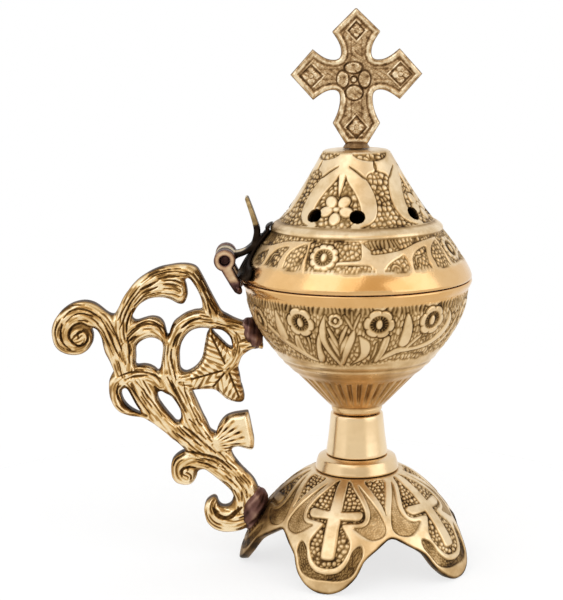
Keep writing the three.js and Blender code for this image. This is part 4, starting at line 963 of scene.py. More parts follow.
def plate(name, low, high, step, outside, half_at, tone_at, bend=None, side_tone=0.6, back_at=None):
    """A closed flat casting. outside(x, z) is the distance outside the outline, half_at(x, z, depth) the
    half thickness and tone_at(x, z, depth) the relief attribute. back_at is the back's half thickness where
    that is not the front's. The side wall has EDGE_ROWS rows of quads, side_tone times as bright as the
    outline, where side_tone is a number or a function of (x, z). bend takes the finished corners (across,
    through, up) to their real place."""
    xs = np.arange(low[0], high[0] + step, step)
    zs = np.arange(low[1], high[1] + step, step)
    x, z = np.meshgrid(xs, zs)
    gap = outside(x, z)
    kept = gap < 0.45 * step
    cells = kept[:-1, :-1] & kept[1:, :-1] & kept[:-1, 1:] & kept[1:, 1:]
    # Drop cells that hang on by one side, or that meet a cell at a corner only
    for _ in range(12):
        wide = np.pad(cells, 1)
        a, b, c, d = wide[:-1, :-1], wide[:-1, 1:], wide[1:, :-1], wide[1:, 1:]
        pinch = (a & d & ~b & ~c) | (b & c & ~a & ~d)
        beside = wide[:-2, 1:-1].astype(int) + wide[2:, 1:-1] + wide[1:-1, :-2] + wide[1:-1, 2:]
        lone = cells & (beside < 2)
        touched = pinch[:-1, :-1] | pinch[:-1, 1:] | pinch[1:, :-1] | pinch[1:, 1:]
        drop = lone | (cells & touched & (beside <= 2))
        if not drop.any():
            break
        cells &= ~drop
    wide = np.pad(cells, 1).astype(int)
    around_corner = wide[:-1, :-1] + wide[:-1, 1:] + wide[1:, :-1] + wide[1:, 1:]
    used = around_corner > 0
    border = used & (around_corner < 4)
    px, pz = x.copy(), z.copy()
    tiny = 0.02
    # Push the border corners onto the outline, in a few steps down the distance's own slope
    for _ in range(4):
        bx, bz = px[border], pz[border]
        d = outside(bx, bz)
        gx = (outside(bx + tiny, bz) - outside(bx - tiny, bz)) / (2 * tiny)
        gz = (outside(bx, bz + tiny) - outside(bx, bz - tiny)) / (2 * tiny)
        size = np.maximum(gx * gx + gz * gz, 0.2)
        move = np.clip(d, -0.9 * step, 0.9 * step)
        px[border] -= move * gx / size
        pz[border] -= move * gz / size
    number = np.cumsum(used.ravel()).reshape(used.shape) - 1
    count = int(used.sum())
    ux, uz = px[used], pz[used]
    depth = np.where(border[used], 0.0, np.maximum(-gap[used], 0.02))
    half = half_at(ux, uz, depth)
    half_back = back_at(ux, uz, depth) if back_at else half
    tone = tone_at(ux, uz, depth)
    rows, columns = np.nonzero(cells)
    quad = np.stack([number[rows, columns], number[rows, columns + 1], number[rows + 1, columns + 1],
                     number[rows + 1, columns]], -1)
    # A border edge is used by one cell only; its cell lies to its left
    edges = np.concatenate([quad[:, [0, 1]], quad[:, [1, 2]], quad[:, [2, 3]], quad[:, [3, 0]]])
    keys = edges.min(1) * count + edges.max(1)
    _, inverse, times = np.unique(keys, return_inverse=True, return_counts=True)
    rim = edges[times[inverse] == 1]
    front = np.stack([ux, -half, uz], -1)
    back = np.stack([ux, half_back, uz], -1)
    side_corners = np.unique(rim)
    place = np.full(count, -1)
    place[side_corners] = np.arange(len(side_corners))
    points, tones = [front, back], [tone, tone]
    shade = side_tone(ux[side_corners], uz[side_corners]) if callable(side_tone) else side_tone
    layers = [rim]
    offset = 2 * count
    for k in range(1, EDGE_ROWS):
        y = lerp(-half[side_corners], half_back[side_corners], k / EDGE_ROWS)
        points.append(np.stack([ux[side_corners], y, uz[side_corners]], -1))
        tones.append(tone[side_corners] * shade)
        layers.append(place[rim] + offset)
        offset += len(side_corners)
    layers.append(rim + count)
    faces = [quad, quad[:, ::-1] + count]
    for near, far in zip(layers[:-1], layers[1:]):
        faces.append(np.stack([near[:, 1], near[:, 0], far[:, 0], far[:, 1]], -1))
    corners = np.vstack(points)
    corners = bend(corners) if bend else corners
    return make_mesh(name, corners, faces, {"relief": np.clip(np.concatenate(tones), 0, 1)})


# %% Handle
STRANDS = {
    "volute": [(73.3, 59.5, 2.6), (74.6, 65, 2.8), (76.2, 70, 3), (78, 74.5, 3.1), (80.8, 78.6, 3.2),
               (85.3, 81, 3.1), (89.4, 80.2, 2.9), (92.5, 77.6, 2.6), (93.6, 74.1, 2.4), (92.4, 71, 2.1),
               (89, 69.4, 1.8), (86.1, 70.1, 1.6), (84.7, 72.6, 1.4), (85.6, 74.8, 1.3)],
    "volute_eye": [(88.6, 72.4, 1.9), (87.4, 73, 2.6), (86.4, 73.8, 1.9)],
    "arch": [(71.3, 60, 2.4), (71.4, 65, 2.4), (72.4, 70, 2.6), (73.3, 75, 2.9), (73, 79.6, 3.3),
             (70.6, 85, 3.1), (67.3, 89.6, 2.7), (63.4, 92.3, 2.4), (59.4, 93.6, 2.1), (55.4, 94, 2.1),
             (52, 93.3, 2.2), (49.6, 90.6, 2), (47.9, 87, 2), (46.6, 83.8, 2.4), (45.2, 80.4, 2.8),
             (44.2, 77.6, 2.2)],
    "inner_leaf": [(70.4, 83, 1.6), (66.8, 87.2, 2.4), (62.6, 88.8, 3.2), (58.6, 88.9, 3.6),
                   (55.6, 87.8, 3.4)],
    "curl_leaf": [(73.6, 70, 2.2), (70.4, 74.4, 2.9), (66.6, 76.3, 3.4), (63, 75.6, 3), (60.8, 73, 2.2),
                  (60.2, 69, 1.4)],
    "middle": [(57, 57, 2.6), (58.6, 62, 2.9), (58.9, 67, 2.9), (58.2, 71.5, 2.5), (56.3, 75, 2.4),
               (53.4, 77.6, 2.5), (50, 78.8, 2.6), (46.5, 78.4, 2.5), (43, 77.4, 2.3), (39.5, 76.4, 2.3),
               (36, 75.4, 2.6), (31, 74.6, 3)],
    "loop": [(40.4, 75.6, 1.7), (38.3, 73.4, 1.7), (37.5, 71, 1.8), (37.6, 68, 1.8), (39, 65, 1.8),
             (41, 62.6, 1.5)],
    "root": [(38, 70.2, 1.9), (34.5, 70.9, 2.3), (30, 71.7, 2.8)],
    "trunk_outer": [(69.6, 59, 2.8), (66.8, 53, 3.1), (63.1, 48.2, 3.2), (59.5, 44.2, 3.2), (55.6, 40.2, 3.3),
                    (51, 36.4, 3.3), (46.4, 32.4, 3.3), (41.8, 28.5, 3.2), (38.2, 24.5, 2.9), (36.4, 20, 2.6),
                    (36.4, 16, 2.4)],
    "trunk_inner": [(58.6, 60.5, 2.9), (56, 55.5, 3.3), (53.9, 51, 3.4), (52.2, 47, 3.6), (49.8, 42, 3.5),
                    (46.2, 37.5, 3.3), (42.4, 33, 3.2), (38.4, 29.2, 3), (35.2, 25.2, 2.9), (33.6, 21, 2.9),
                    (32.6, 17, 3.2), (31.2, 14.4, 2.6)],
    "lower_curl": [(42.6, 30, 2.2), (47.5, 32.2, 2.5), (52, 33, 2.5), (55.6, 31.6, 3), (56, 28.6, 3.4),
                   (54.4, 27.4, 3.2)],
    "hook": [(31, 14.6, 2.8), (34.6, 13.9, 3.4), (37.6, 13, 3.8), (41.3, 12.8, 4), (44.8, 13.9, 3.6),
             (46.6, 16.3, 2.5), (46.4, 18.6, 1.7), (45.9, 19.6, 1)],
    "band": [(62, 57.6, 1.8), (64.6, 60.6, 2.5), (69, 61.5, 2.8), (73.2, 59.8, 2.5), (76, 57.4, 2.4),
             (76.7, 54.4, 2), (75.9, 51.6, 1.9), (73.6, 49.4, 1.7), (70.4, 48.6, 1.6), (67, 47.6, 1.4)],
    "leaf_stem": [(56, 58.4, 2.2), (51, 59, 2.4), (46, 60.5, 2.2), (41.5, 62, 1.4)],
    "fan_stem": [(46.4, 37.6, 2.2), (43.4, 39.7, 2.6), (41.2, 40.8, 2.4)],
}
# The silhouette and the holes, as closed outlines of (x, height). The strands above only lead the grooves.
HANDLE_OUTLINE = [
    (-32.1, 78.0), (-35.2, 77.3), (-38.3, 78.3), (-40.6, 79.5), (-42.5, 80.7), (-43.7, 82.7), (-45.1, 85.4),
    (-46.4, 88.0), (-47.8, 90.9), (-49.2, 93.6), (-50.0, 94.7), (-51.3, 95.5), (-53.4, 95.9), (-55.8, 95.9),
    (-58.6, 95.5), (-61.5, 94.9), (-64.4, 93.7), (-66.8, 92.3), (-68.7, 90.9), (-70.4, 89.2), (-71.9, 87.3),
    (-73.4, 85.2), (-74.6, 82.7), (-75.7, 80.8), (-76.4, 80.0), (-77.6, 80.2), (-79.0, 81.1), (-80.8, 82.6),
    (-82.7, 83.8), (-85.1, 84.4), (-87.5, 84.2), (-89.9, 83.4), (-92.3, 81.8), (-94.0, 80.0), (-95.3, 77.9),
    (-96.0, 75.4), (-95.9, 73.0), (-95.3, 70.6), (-93.9, 68.8), (-91.8, 67.7), (-89.4, 67.3), (-87.0, 67.6),
    (-85.1, 68.7), (-83.8, 70.2), (-83.2, 71.9), (-83.1, 73.8), (-83.5, 75.3), (-82.9, 75.9), (-81.8, 75.3),
    (-81.1, 74.3), (-80.4, 72.6), (-80.0, 70.4), (-79.4, 67.9), (-78.2, 65.5), (-77.3, 63.3), (-76.9, 61.8),
    (-77.7, 60.6), (-78.3, 59.1), (-78.5, 57.1), (-78.5, 55.4), (-78.3, 53.7), (-77.7, 51.9), (-76.8, 50.2),
    (-75.5, 48.8), (-73.9, 48.0), (-72.0, 47.4), (-69.9, 47.1), (-67.8, 46.7), (-66.1, 45.7), (-64.4, 44.6),
    (-62.7, 43.2), (-61.1, 41.9), (-60.0, 40.9), (-59.0, 39.9), (-57.5, 38.8), (-56.1, 37.5), (-55.0, 36.3),
    (-54.8, 35.5), (-55.7, 35.3), (-57.0, 34.6), (-58.3, 33.5), (-59.2, 32.0), (-59.4, 30.0), (-59.3, 28.0),
    (-58.8, 26.5), (-57.8, 25.3), (-56.3, 24.7), (-54.6, 24.5), (-53.1, 24.9), (-51.9, 26.2), (-51.2, 27.7),
    (-50.9, 28.8), (-50.0, 29.5), (-48.5, 29.5), (-46.8, 28.3), (-45.2, 27.0), (-43.1, 25.2), (-41.4, 23.6),
    (-40.3, 22.3), (-39.7, 20.9), (-39.7, 19.8), (-40.2, 18.3), (-41.0, 17.4), (-42.3, 17.0), (-43.4, 17.2),
    (-44.2, 17.9), (-44.7, 19.0), (-44.9, 19.7), (-45.7, 20.3), (-46.8, 20.0), (-48.1, 19.0), (-48.8, 17.7),
    (-49.1, 16.1), (-48.8, 14.1), (-48.2, 12.1), (-46.9, 10.5), (-45.5, 9.5), (-43.3, 8.8), (-41.2, 8.7),
    (-39.0, 8.9), (-37.3, 9.3), (-35.6, 10.0), (-33.4, 10.8), (-29.9, 12.6), (-29.2, 18.8), (-30.7, 20.2),
    (-31.3, 22.0), (-32.0, 23.8), (-32.8, 25.5), (-34.0, 27.1), (-35.3, 28.4), (-37.0, 30.2), (-38.3, 31.8),
    (-39.3, 33.3), (-39.9, 34.7), (-40.0, 35.8), (-39.5, 36.6), (-37.8, 37.0), (-35.6, 36.4), (-33.9, 36.0),
    (-33.1, 36.4), (-32.8, 37.4), (-32.8, 39.2), (-33.1, 41.0), (-33.5, 43.2), (-34.0, 45.8), (-34.4, 47.5),
    (-34.8, 48.2), (-36.7, 48.0), (-39.3, 47.6), (-41.4, 46.8), (-42.7, 45.7), (-43.8, 44.1), (-44.5, 42.6),
    (-44.9, 41.4), (-45.8, 41.8), (-46.8, 42.6), (-47.8, 45.1), (-48.9, 47.3), (-49.9, 49.7), (-50.9, 52.1),
    (-51.9, 54.5), (-52.0, 55.5), (-50.2, 55.8), (-47.6, 55.9), (-45.5, 55.8), (-44.3, 55.3), (-43.0, 54.2),
    (-41.5, 52.8), (-39.7, 52.0), (-38.0, 51.6), (-36.5, 51.7), (-35.7, 52.6), (-35.8, 54.1), (-36.3, 56.3),
    (-36.7, 57.4), (-37.0, 59.7), (-37.4, 61.6), (-37.5, 62.9), (-37.0, 64.6), (-36.3, 66.3), (-35.3, 67.3),
    (-33.4, 68.5), (-31.5, 69.0), (-29.5, 69.4)]
HANDLE_HOLES = [
    [(-70.7, 79.1), (-69.8, 81.0), (-68.7, 82.7), (-67.2, 84.0), (-65.1, 85.1), (-62.7, 85.5), (-60.3, 85.4),
     (-58.4, 84.8), (-56.8, 83.9), (-55.6, 83.4), (-54.4, 83.5), (-53.6, 84.5), (-53.1, 85.9), (-53.2, 87.8),
     (-53.5, 89.5), (-53.8, 90.7), (-53.0, 91.5), (-52.2, 91.2), (-51.2, 89.9), (-50.0, 87.8), (-49.0, 85.6),
     (-48.5, 83.5), (-48.7, 81.5), (-51.1, 81.1), (-53.7, 80.2), (-55.9, 78.8), (-57.6, 77.4), (-58.6, 75.5),
     (-59.2, 73.6), (-59.8, 73.4), (-60.1, 74.6), (-60.7, 77.0), (-61.9, 78.5), (-63.5, 79.1), (-65.2, 79.1),
     (-67.1, 78.6), (-69.5, 78.0)],
    [(-69.8, 63.8), (-69.8, 66.4), (-69.8, 68.8), (-69.1, 70.5), (-67.8, 71.7), (-65.8, 72.6), (-63.9, 72.6),
     (-62.3, 71.9), (-61.3, 70.9), (-61.1, 69.2), (-61.4, 66.8), (-61.8, 64.3), (-62.2, 62.6), (-63.0, 61.8),
     (-63.9, 62.6), (-65.6, 63.5), (-67.5, 63.8)],
    [(-55.8, 62.6), (-56.0, 65.3), (-55.9, 68.2), (-55.1, 71.1), (-53.6, 73.5), (-51.7, 75.0), (-49.5, 75.6),
     (-47.6, 75.6), (-46.4, 75.2), (-47.3, 73.5), (-47.7, 71.5), (-48.1, 69.6), (-48.5, 67.4), (-49.2, 65.2),
     (-50.7, 63.2), (-52.7, 61.8), (-54.4, 61.4)],
    [(-45.6, 75.2), (-44.5, 75.2), (-42.6, 74.9), (-41.1, 73.9), (-39.9, 72.4), (-39.4, 70.7), (-39.3, 69.3),
     (-40.5, 69.5), (-42.0, 70.9), (-43.4, 72.4), (-44.9, 73.9)],
    [(-74.7, 54.8), (-74.3, 55.9), (-73.4, 56.4), (-72.5, 55.7), (-71.3, 53.4), (-70.1, 51.0), (-68.9, 49.1),
     (-68.6, 48.2), (-69.6, 48.3), (-71.1, 49.1), (-72.5, 50.1), (-73.9, 51.8), (-74.6, 53.5)],
    [(-63.2, 54.6), (-62.4, 55.3), (-61.6, 55.2), (-60.6, 54.6), (-58.7, 53.5), (-57.0, 51.0), (-56.0, 48.9),
     (-55.9, 46.9), (-56.4, 45.4), (-57.5, 45.2), (-58.6, 46.4), (-60.1, 48.2), (-61.7, 50.4), (-63.0, 52.6)]]
HANDLE_HALF = 3.2
BRAZE_GAP = 0.35


handle_lines = {key: curve([(-x, z, h) for x, z, h in points], 6) for key, points in STRANDS.items()}
handle_edge = closed_curve(HANDLE_OUTLINE)
handle_holes = [closed_curve(hole) for hole in HANDLE_HOLES]


def body_gap(x, z):
    """Distance to the bowl's and foot's outside, less a braze gap, so that the casting stops short of
    them."""
    bowl_r = np.interp(z, bowl_outside[7:, 1], bowl_outside[7:, 0])
    foot_r_here = np.where(z < FOOT_TOP, dome_radius(z), 0)
    reach = np.where(z > 50, bowl_r, foot_r_here) + BRAZE_GAP
    # The walls lean, so the distance is a little less than the step along x
    return (x + reach) * 0.9


def handle_outside(x, z):
    """Outside the outline, or inside a hole, or too near the body, whichever is furthest out."""
    gap = patch(x, z, handle_edge)
    for hole in handle_holes:
        gap = np.maximum(gap, -patch(x, z, hole))
    return np.maximum(gap, body_gap(x, z))


def strand_frame(x, z):
    """For each point, of the strand it lies deepest in: how far across it is, -1 to 1, how far along in
    millimetres, the strand's half width there, and a number that tells the strands apart."""
    best = np.full(x.shape, 1e9)
    across, along, which = np.zeros(x.shape), np.zeros(x.shape), np.zeros(x.shape)
    width = np.ones(x.shape)
    for number, line in enumerate(handle_lines.values()):
        start = 0.0
        for (u0, v0, h0), (u1, v1, h1) in zip(line[:-1], line[1:]):
            du, dv = u1 - u0, v1 - v0
            length = np.hypot(du, dv)
            if length < 1e-9:
                continue
            t = np.clip(((x - u0) * du + (z - v0) * dv) / length ** 2, 0, 1)
            half = lerp(h0, h1, t)
            off = ((x - u0) * dv - (z - v0) * du) / length
            gap = np.hypot(x - u0 - t * du, z - v0 - t * dv)
            score = gap / half
            nearer = score < best
            best = np.where(nearer, score, best)
            across = np.where(nearer, np.sign(off) * score, across)
            along = np.where(nearer, start + t * length, along)
            width = np.where(nearer, half, width)
            which = np.where(nearer, number, which)
            start += length
    return across, along, width, best, which


# Chisel cuts along the strands: (place across the strand, -1 to 1, length of cut, length of gap, offset)
CUTS = [(-0.66, 6.5, 5.0, 0.0), (-0.36, 5.0, 3.4, 3.1), (-0.08, 7.5, 3.8, 6.4), (0.22, 4.4, 3.0, 1.7),
        (0.5, 6.0, 3.6, 4.6), (0.74, 4.5, 6.5, 2.2)]
# Half the width of a chisel cut, at half its depth
CUT_MM = 0.26
# Grooves cut by hand: (half width, points)
GROOVES = [
    (0.3, [(-83.8, 76.5), (-86.4, 77.8), (-89.1, 76.8), (-90.4, 74.1), (-89.5, 71.7), (-87.1, 70.5),
           (-84.9, 71.9), (-84.6, 74.1), (-86.0, 75.3), (-87.6, 74.6), (-87.5, 72.9)]),
    (0.12, [(-94.0, 79.8), (-91.8, 82.2), (-88.6, 83.4), (-85.3, 83.5)]),
    (0.22, [(-91.9, 79.5), (-89.9, 81.5), (-87.0, 82.3), (-83.9, 81.7), (-81.5, 80.4)]),
    (0.12, [(-91.2, 78.1), (-89.0, 80.2), (-86.3, 80.9), (-83.0, 80.2)]),
    (0.12, [(-94.1, 78.3), (-94.7, 74.9), (-94.0, 71.5), (-91.9, 69.5)]),
    (0.22, [(-92.5, 77.8), (-93.1, 74.4), (-92.4, 71.5), (-90.0, 69.4)]),
    (0.22, [(-80.6, 79.7), (-78.8, 76.7), (-77.4, 73.3), (-76.1, 69.8), (-74.7, 66.9)]),
    (0.12, [(-81.6, 77.7), (-79.5, 74.8), (-78.2, 71.3), (-76.6, 67.4)]),
    (0.22, [(-77.5, 78.2), (-75.9, 74.7), (-74.8, 71.8), (-73.9, 68.8)]),
    (0.22, [(-74.0, 76.7), (-72.4, 80.6), (-70.7, 84.2), (-67.9, 87.8)]),
    (0.12, [(-74.9, 78.6), (-72.9, 82.3), (-70.8, 85.9), (-67.9, 89.3)]),
    (0.12, [(-67.4, 90.5), (-63.5, 93.1), (-59.2, 94.4), (-54.9, 94.9)]),
    (0.12, [(-64.0, 92.4), (-59.7, 93.6), (-55.4, 93.9), (-52.1, 92.7)]),
    (0.22, [(-51.1, 93.4), (-49.2, 90.5), (-47.4, 87.1), (-45.6, 83.2), (-43.7, 80.3)]),
    (0.12, [(-50.2, 91.5), (-48.3, 88.1), (-46.7, 84.2), (-46.1, 80.3)]),
    (0.38, [(-67.7, 88.2), (-65.0, 89.5), (-62.1, 91.1)]),
    (0.22, [(-67.0, 87.1), (-64.1, 88.3), (-62.2, 89.2)]),
    (0.38, [(-61.9, 91.5), (-58.8, 92.3), (-55.4, 92.4)]),
    (0.12, [(-60.2, 90.9), (-56.9, 91.2), (-54.5, 90.2)]),
    (0.12, [(-60.5, 89.8), (-57.1, 89.9), (-54.6, 88.9)]),
    (0.12, [(-60.3, 88.5), (-57.4, 88.4), (-55.3, 87.4)]),
    (0.12, [(-59.8, 87.0), (-57.2, 86.7), (-55.5, 86.0)]),
    (0.12, [(-66.5, 85.9), (-64.1, 86.9), (-61.2, 87.5)]),
    (0.22, [(-72.3, 74.7), (-72.0, 78.1), (-70.9, 80.8)]),
    (0.12, [(-74.5, 75.7), (-73.5, 78.1), (-72.2, 80.6)]),
    (0.22, [(-72.1, 73.7), (-69.7, 75.9), (-65.8, 77.3), (-62.5, 76.6), (-60.8, 74.1)]),
    (0.6, [(-71.1, 72.2), (-69.5, 73.4)]),
    (0.12, [(-69.2, 76.6), (-66.3, 78.1), (-63.4, 77.8), (-61.5, 76.1)]),
    (0.22, [(-72.1, 73.2), (-71.7, 69.3), (-71.6, 64.9)]),
    (0.5, [(-59.8, 72.9), (-58.9, 75.3), (-57.2, 77.0)]),
    (0.4, [(-55.0, 76.0), (-52.4, 78.0), (-49.0, 79.2)]),
    (0.4, [(-57.8, 70.1), (-56.8, 72.8), (-55.2, 74.5)]),
    (0.22, [(-58.3, 69.2), (-58.6, 66.2), (-57.9, 63.3), (-57.1, 59.3)]),
    (0.12, [(-48.5, 77.9), (-44.7, 77.6), (-41.4, 76.7), (-37.0, 76.3)]),
    (0.22, [(-46.1, 82.0), (-45.6, 79.3)]),
    (0.12, [(-38.0, 74.4), (-37.4, 70.9), (-38.4, 66.5)]),
    (0.22, [(-74.9, 60.7), (-71.5, 61.9), (-67.6, 62.0), (-64.3, 61.1), (-61.9, 59.6)]),
    (0.12, [(-73.5, 59.5), (-70.5, 60.4), (-67.2, 60.5)]),
    (0.22, [(-72.5, 58.2), (-70.2, 55.2), (-67.9, 51.7), (-65.5, 48.2)]),
    (0.12, [(-69.6, 58.9), (-66.8, 55.2), (-64.0, 51.2), (-61.7, 47.4)]),
    (0.22, [(-59.9, 60.3), (-58.1, 56.8), (-56.2, 52.8), (-54.4, 48.8)]),
    (0.12, [(-54.3, 54.8), (-52.9, 51.3), (-51.3, 47.3)]),
    (0.22, [(-75.2, 58.5), (-75.9, 55.5), (-74.9, 52.5), (-72.7, 50.3), (-69.9, 48.9)]),
    (0.22, [(-58.6, 59.3), (-56.5, 54.7), (-54.0, 48.7)]),
    (0.12, [(-54.8, 58.6), (-53.9, 54.0), (-51.9, 48.7)]),
    (0.38, [(-53.2, 46.5), (-51.3, 44.7)]),
    (0.22, [(-51.1, 46.5), (-49.2, 44.3)]),
    (0.38, [(-54.9, 44.1), (-51.9, 41.7), (-49.3, 39.2)]),
    (0.22, [(-56.4, 44.1), (-54.6, 42.2), (-52.5, 40.5)]),
    (0.22, [(-57.4, 42.1), (-55.5, 40.4), (-53.4, 38.7)]),
    (0.22, [(-50.6, 42.4), (-48.0, 40.0)]),
    (0.22, [(-48.3, 42.2), (-46.6, 40.3)]),
    (0.38, [(-51.9, 39.4), (-49.5, 37.7)]),
    (0.38, [(-47.1, 37.5), (-45.0, 35.4)]),
    (0.38, [(-45.4, 41.1), (-44.5, 38.6), (-43.4, 35.8)]),
    (0.22, [(-42.8, 38.9), (-41.6, 35.6)]),
    (0.38, [(-54.6, 35.8), (-51.7, 35.6), (-48.4, 34.8), (-45.2, 33.9), (-42.6, 32.2), (-40.1, 29.9)]),
    (0.22, [(-49.8, 33.7), (-46.5, 33.0), (-44.0, 31.6)]),
    (0.22, [(-50.6, 32.5), (-47.5, 31.6), (-44.6, 30.2)]),
    (0.22, [(-43.0, 30.9), (-40.8, 28.7)]),
    (0.38, [(-41.7, 32.6), (-38.6, 29.8)]),
    (0.38, [(-40.5, 26.7), (-38.4, 24.1)]),
    (0.22, [(-39.0, 27.7), (-36.9, 24.3)]),
    (0.22, [(-37.4, 27.6), (-35.3, 25.3)]),
    (0.22, [(-36.9, 22.4), (-36.8, 19.5)]),
    (0.22, [(-35.6, 23.1), (-35.1, 20.5)]),
    (0.38, [(-51.4, 30.6), (-53.4, 30.8), (-55.3, 30.4), (-56.2, 29.2), (-55.9, 27.7)]),
    (0.22, [(-58.6, 31.1), (-57.7, 33.1), (-55.1, 34.9)]),
    (0.65, [(-46.2, 17.3), (-45.0, 15.0), (-42.9, 13.9), (-40.6, 14.2), (-39.0, 15.7), (-37.0, 17.3)]),
    (0.7, [(-63.9, 57.2), (-62.8, 55.6), (-61.9, 54.4)]),
    (0.5, [(-57.4, 46.0), (-56.4, 45.6)])]


def chisel_cuts(across, along, width, which):
    """0 to 1: how deep a point lies in a cut. Each cut is a thin groove at its own place across the strand
    that wavers, starts and stops along it, and tapers to both ends."""
    deep = np.zeros(across.shape)
    for k, (place, cut, rest, offset) in enumerate(CUTS):
        cycle = cut + rest
        phase = (along + offset * (1 + 1.7 * which) + 2.6 * k) % cycle
        reach = smooth(phase, 0.0, 1.0) * (1 - smooth(phase, cut - 1.4, cut))
        turn = np.floor((along + offset * (1 + 1.7 * which) + 2.6 * k) / cycle)
        shift = 0.1 * np.sin(turn * 2.4 + which * 1.3 + k) + 0.03 * np.sin(along * 1.1 + k)
        gap = np.abs(across - place - shift) * width
        heavy = 0.75 + 0.25 * np.sin(turn * 3.7 + k * 2.1 + which)
        deep = np.maximum(deep, heavy * reach * (1 - smooth(gap, CUT_MM * 0.45 * reach, CUT_MM * 1.55)))
    return 0.78 * deep


def hand_cuts(x, z):
    """0 to 1: how deep a point lies in one of the grooves, each of which tapers to both ends."""
    deep = np.zeros(x.shape)
    for half, points in GROOVES:
        line = curve([(*p, half if 0 < i < len(points) - 1 else 0.4 * half) for i, p in enumerate(points)], 3)
        near = np.abs(x - line[:, 0].mean()) < np.ptp(line[:, 0]) / 2 + 1.5
        deep[near] = np.maximum(deep[near], smooth(-pen(x[near], z[near], line), -0.2, 0.05))
    return deep


IVY_HUB = (-40.8, 62.6)
IVY_TIPS = [(-45.6, 73.2), (-52.5, 59.4), (-37.2, 53.2), (-45.4, 57.0), (-38.4, 67.5)]
FAN_HUB = (-47.2, 37.4)


def ivy_face(x, z):
    """Relief of the ivy leaf: a dark main vein to each tip, and from it side veins that lean 45 degrees
    towards the tip, with pale swellings between."""
    best = np.full(x.shape, 1e9)
    face = np.full(x.shape, 0.75)
    for tip in IVY_TIPS:
        du, dv = tip[0] - IVY_HUB[0], tip[1] - IVY_HUB[1]
        length = np.hypot(du, dv)
        along = ((x - IVY_HUB[0]) * du + (z - IVY_HUB[1]) * dv) / length
        off = ((x - IVY_HUB[0]) * dv - (z - IVY_HUB[1]) * du) / length
        t = np.clip(along, 0, length)
        gap = np.hypot(off, along - t)
        side = np.abs((along - np.abs(off) * 0.95) / 2.1 % 1 - 0.5) * 2
        ribs = lerp(0.4, 1.0, smooth(side + 0.25 * np.sin(off * 1.7 + along), 0.1, 0.6))
        here = lerp(ribs, 0.12, 1 - smooth(gap, 0.18, 0.42))
        face = np.where(gap < best, here, face)
        best = np.minimum(best, gap)
    return face


def handle_grain(x, z):
    """Relief 0 to 1 of the handle's face: bright metal with dark cuts along the strands, a dark seam where
    two strands meet, veins on the ivy leaf, and rays on the fan."""
    across, along, width, score, which = strand_frame(x, z)
    streak = np.sin(across * width * 5.6 + 0.9 * np.sin(along * 0.4 + which * 2) + which)
    patchy = 0.5 + 0.5 * np.sin(along * 0.9 + 2.4 * np.sin(across * width * 1.3 + which))
    grain = (1 - 0.32 * smooth(streak, -0.1, 0.9) * patchy) * (1 - chisel_cuts(across, along, width, which))
    uneven = 0.84 + 0.16 * np.sin(x * 2.9 + 1.5 * np.sin(z * 2.1)) * np.sin(z * 3.3)
    grain = grain * lerp(1.0, 0.5, smooth(score, 0.93, 1.12)) * (1 - uneven * hand_cuts(x, z))
    # The leaf's veins stop inside the loop to its right
    in_loop = -pen(x, z, handle_lines["loop"]) - 0.1
    from_leaf = np.hypot((x + 43.5) / 9.5, (z - 62.5) / 12.5)
    ivy_zone = (1 - smooth(from_leaf, 0.95, 1.02)) * smooth(-in_loop, -0.2, 0.1)
    grain = lerp(grain, ivy_face(x, z), ivy_zone)
    angle = np.arctan2(z - FAN_HUB[1], x - FAN_HUB[0])
    rho = np.hypot(z - FAN_HUB[1], x - FAN_HUB[0])
    ray = np.abs(angle * 5.6 % 1 - 0.5) * 2
    reach = (1 - smooth(rho, 10.5, 12.4)) * (0.6 + 0.4 * np.sin(rho * 1.5 + angle * 11))
    rays = 1 - 0.95 * (1 - smooth(ray, 0.15, 0.62)) * smooth(rho, 3.2, 5.2) * reach
    fan_zone = smooth(x, -46.3, -45.3) * (1 - smooth(z, 48.8, 49.4)) * smooth(z, 35.6, 36.2) * (x < -30)
    fan_zone = fan_zone * smooth((x + 45.3) - 0.72 * (36.8 - z), -0.6, 0.4)
    return lerp(grain, rays, fan_zone)


def handle_half(x, z, depth):
    """The face rises from 38 per cent of the half thickness at the outline to the full one 2 mm in, and the
    cuts are 0.6 mm deep."""
    swell = 1 - (1 - np.clip(depth / 2.0, 0, 1)) ** 2
    cut = 0.6 * (1 - handle_grain(x, z)) * smooth(depth, 0.1, 0.7)
    return HANDLE_HALF * lerp(0.38, 1.0, swell) - cut


def handle_back(x, z, depth):
    """The back is flatter: it falls to 80 per cent at the outline, with cuts 0.35 mm deep."""
    swell = 1 - (1 - np.clip(depth / 1.4, 0, 1)) ** 2
    cut = 0.35 * (1 - handle_grain(x, z)) * smooth(depth, 0.1, 0.7)
    return HANDLE_HALF * lerp(0.8, 1.0, swell) - cut


def handle_tone(x, z, depth):
    """Dark in the cuts, with painted shade along the outline, bright elsewhere."""
    return np.clip(handle_grain(x, z) * lerp(0.6, 0.98, smooth(depth, 0.0, 0.5)), 0, 1)


# The side walls, round the outline and in the holes, are painted dark as shade
handle = plate("handle_casting", (-97, 8), (-28, 97), 0.24, handle_outside, handle_half, handle_tone,
               side_tone=0.18, back_at=handle_back)
finish_with(handle, handle_brass, "base", "handle_brass", "handle")

# %% [markdown]
# ## The cross
# A small cast cross with four arms on a round foot. Each face has a raised rim, a sunk grainy field, a
# rosette in the middle, and a lozenge with a small flower in each arm.

# %% Cross
CROSS_Z = 154.2


def bezier(points):
    """Eight points of a Bezier curve of any degree, by repeated steps between its control points."""
    count = 8
    t = np.linspace(0, 1, count, endpoint=False)[:, None]
    rows = [np.tile(np.asarray(p, float), (count, 1)) for p in points]
    while len(rows) > 1:
        rows = [lerp(a, b, t) for a, b in zip(rows[:-1], rows[1:])]
    return rows[0]


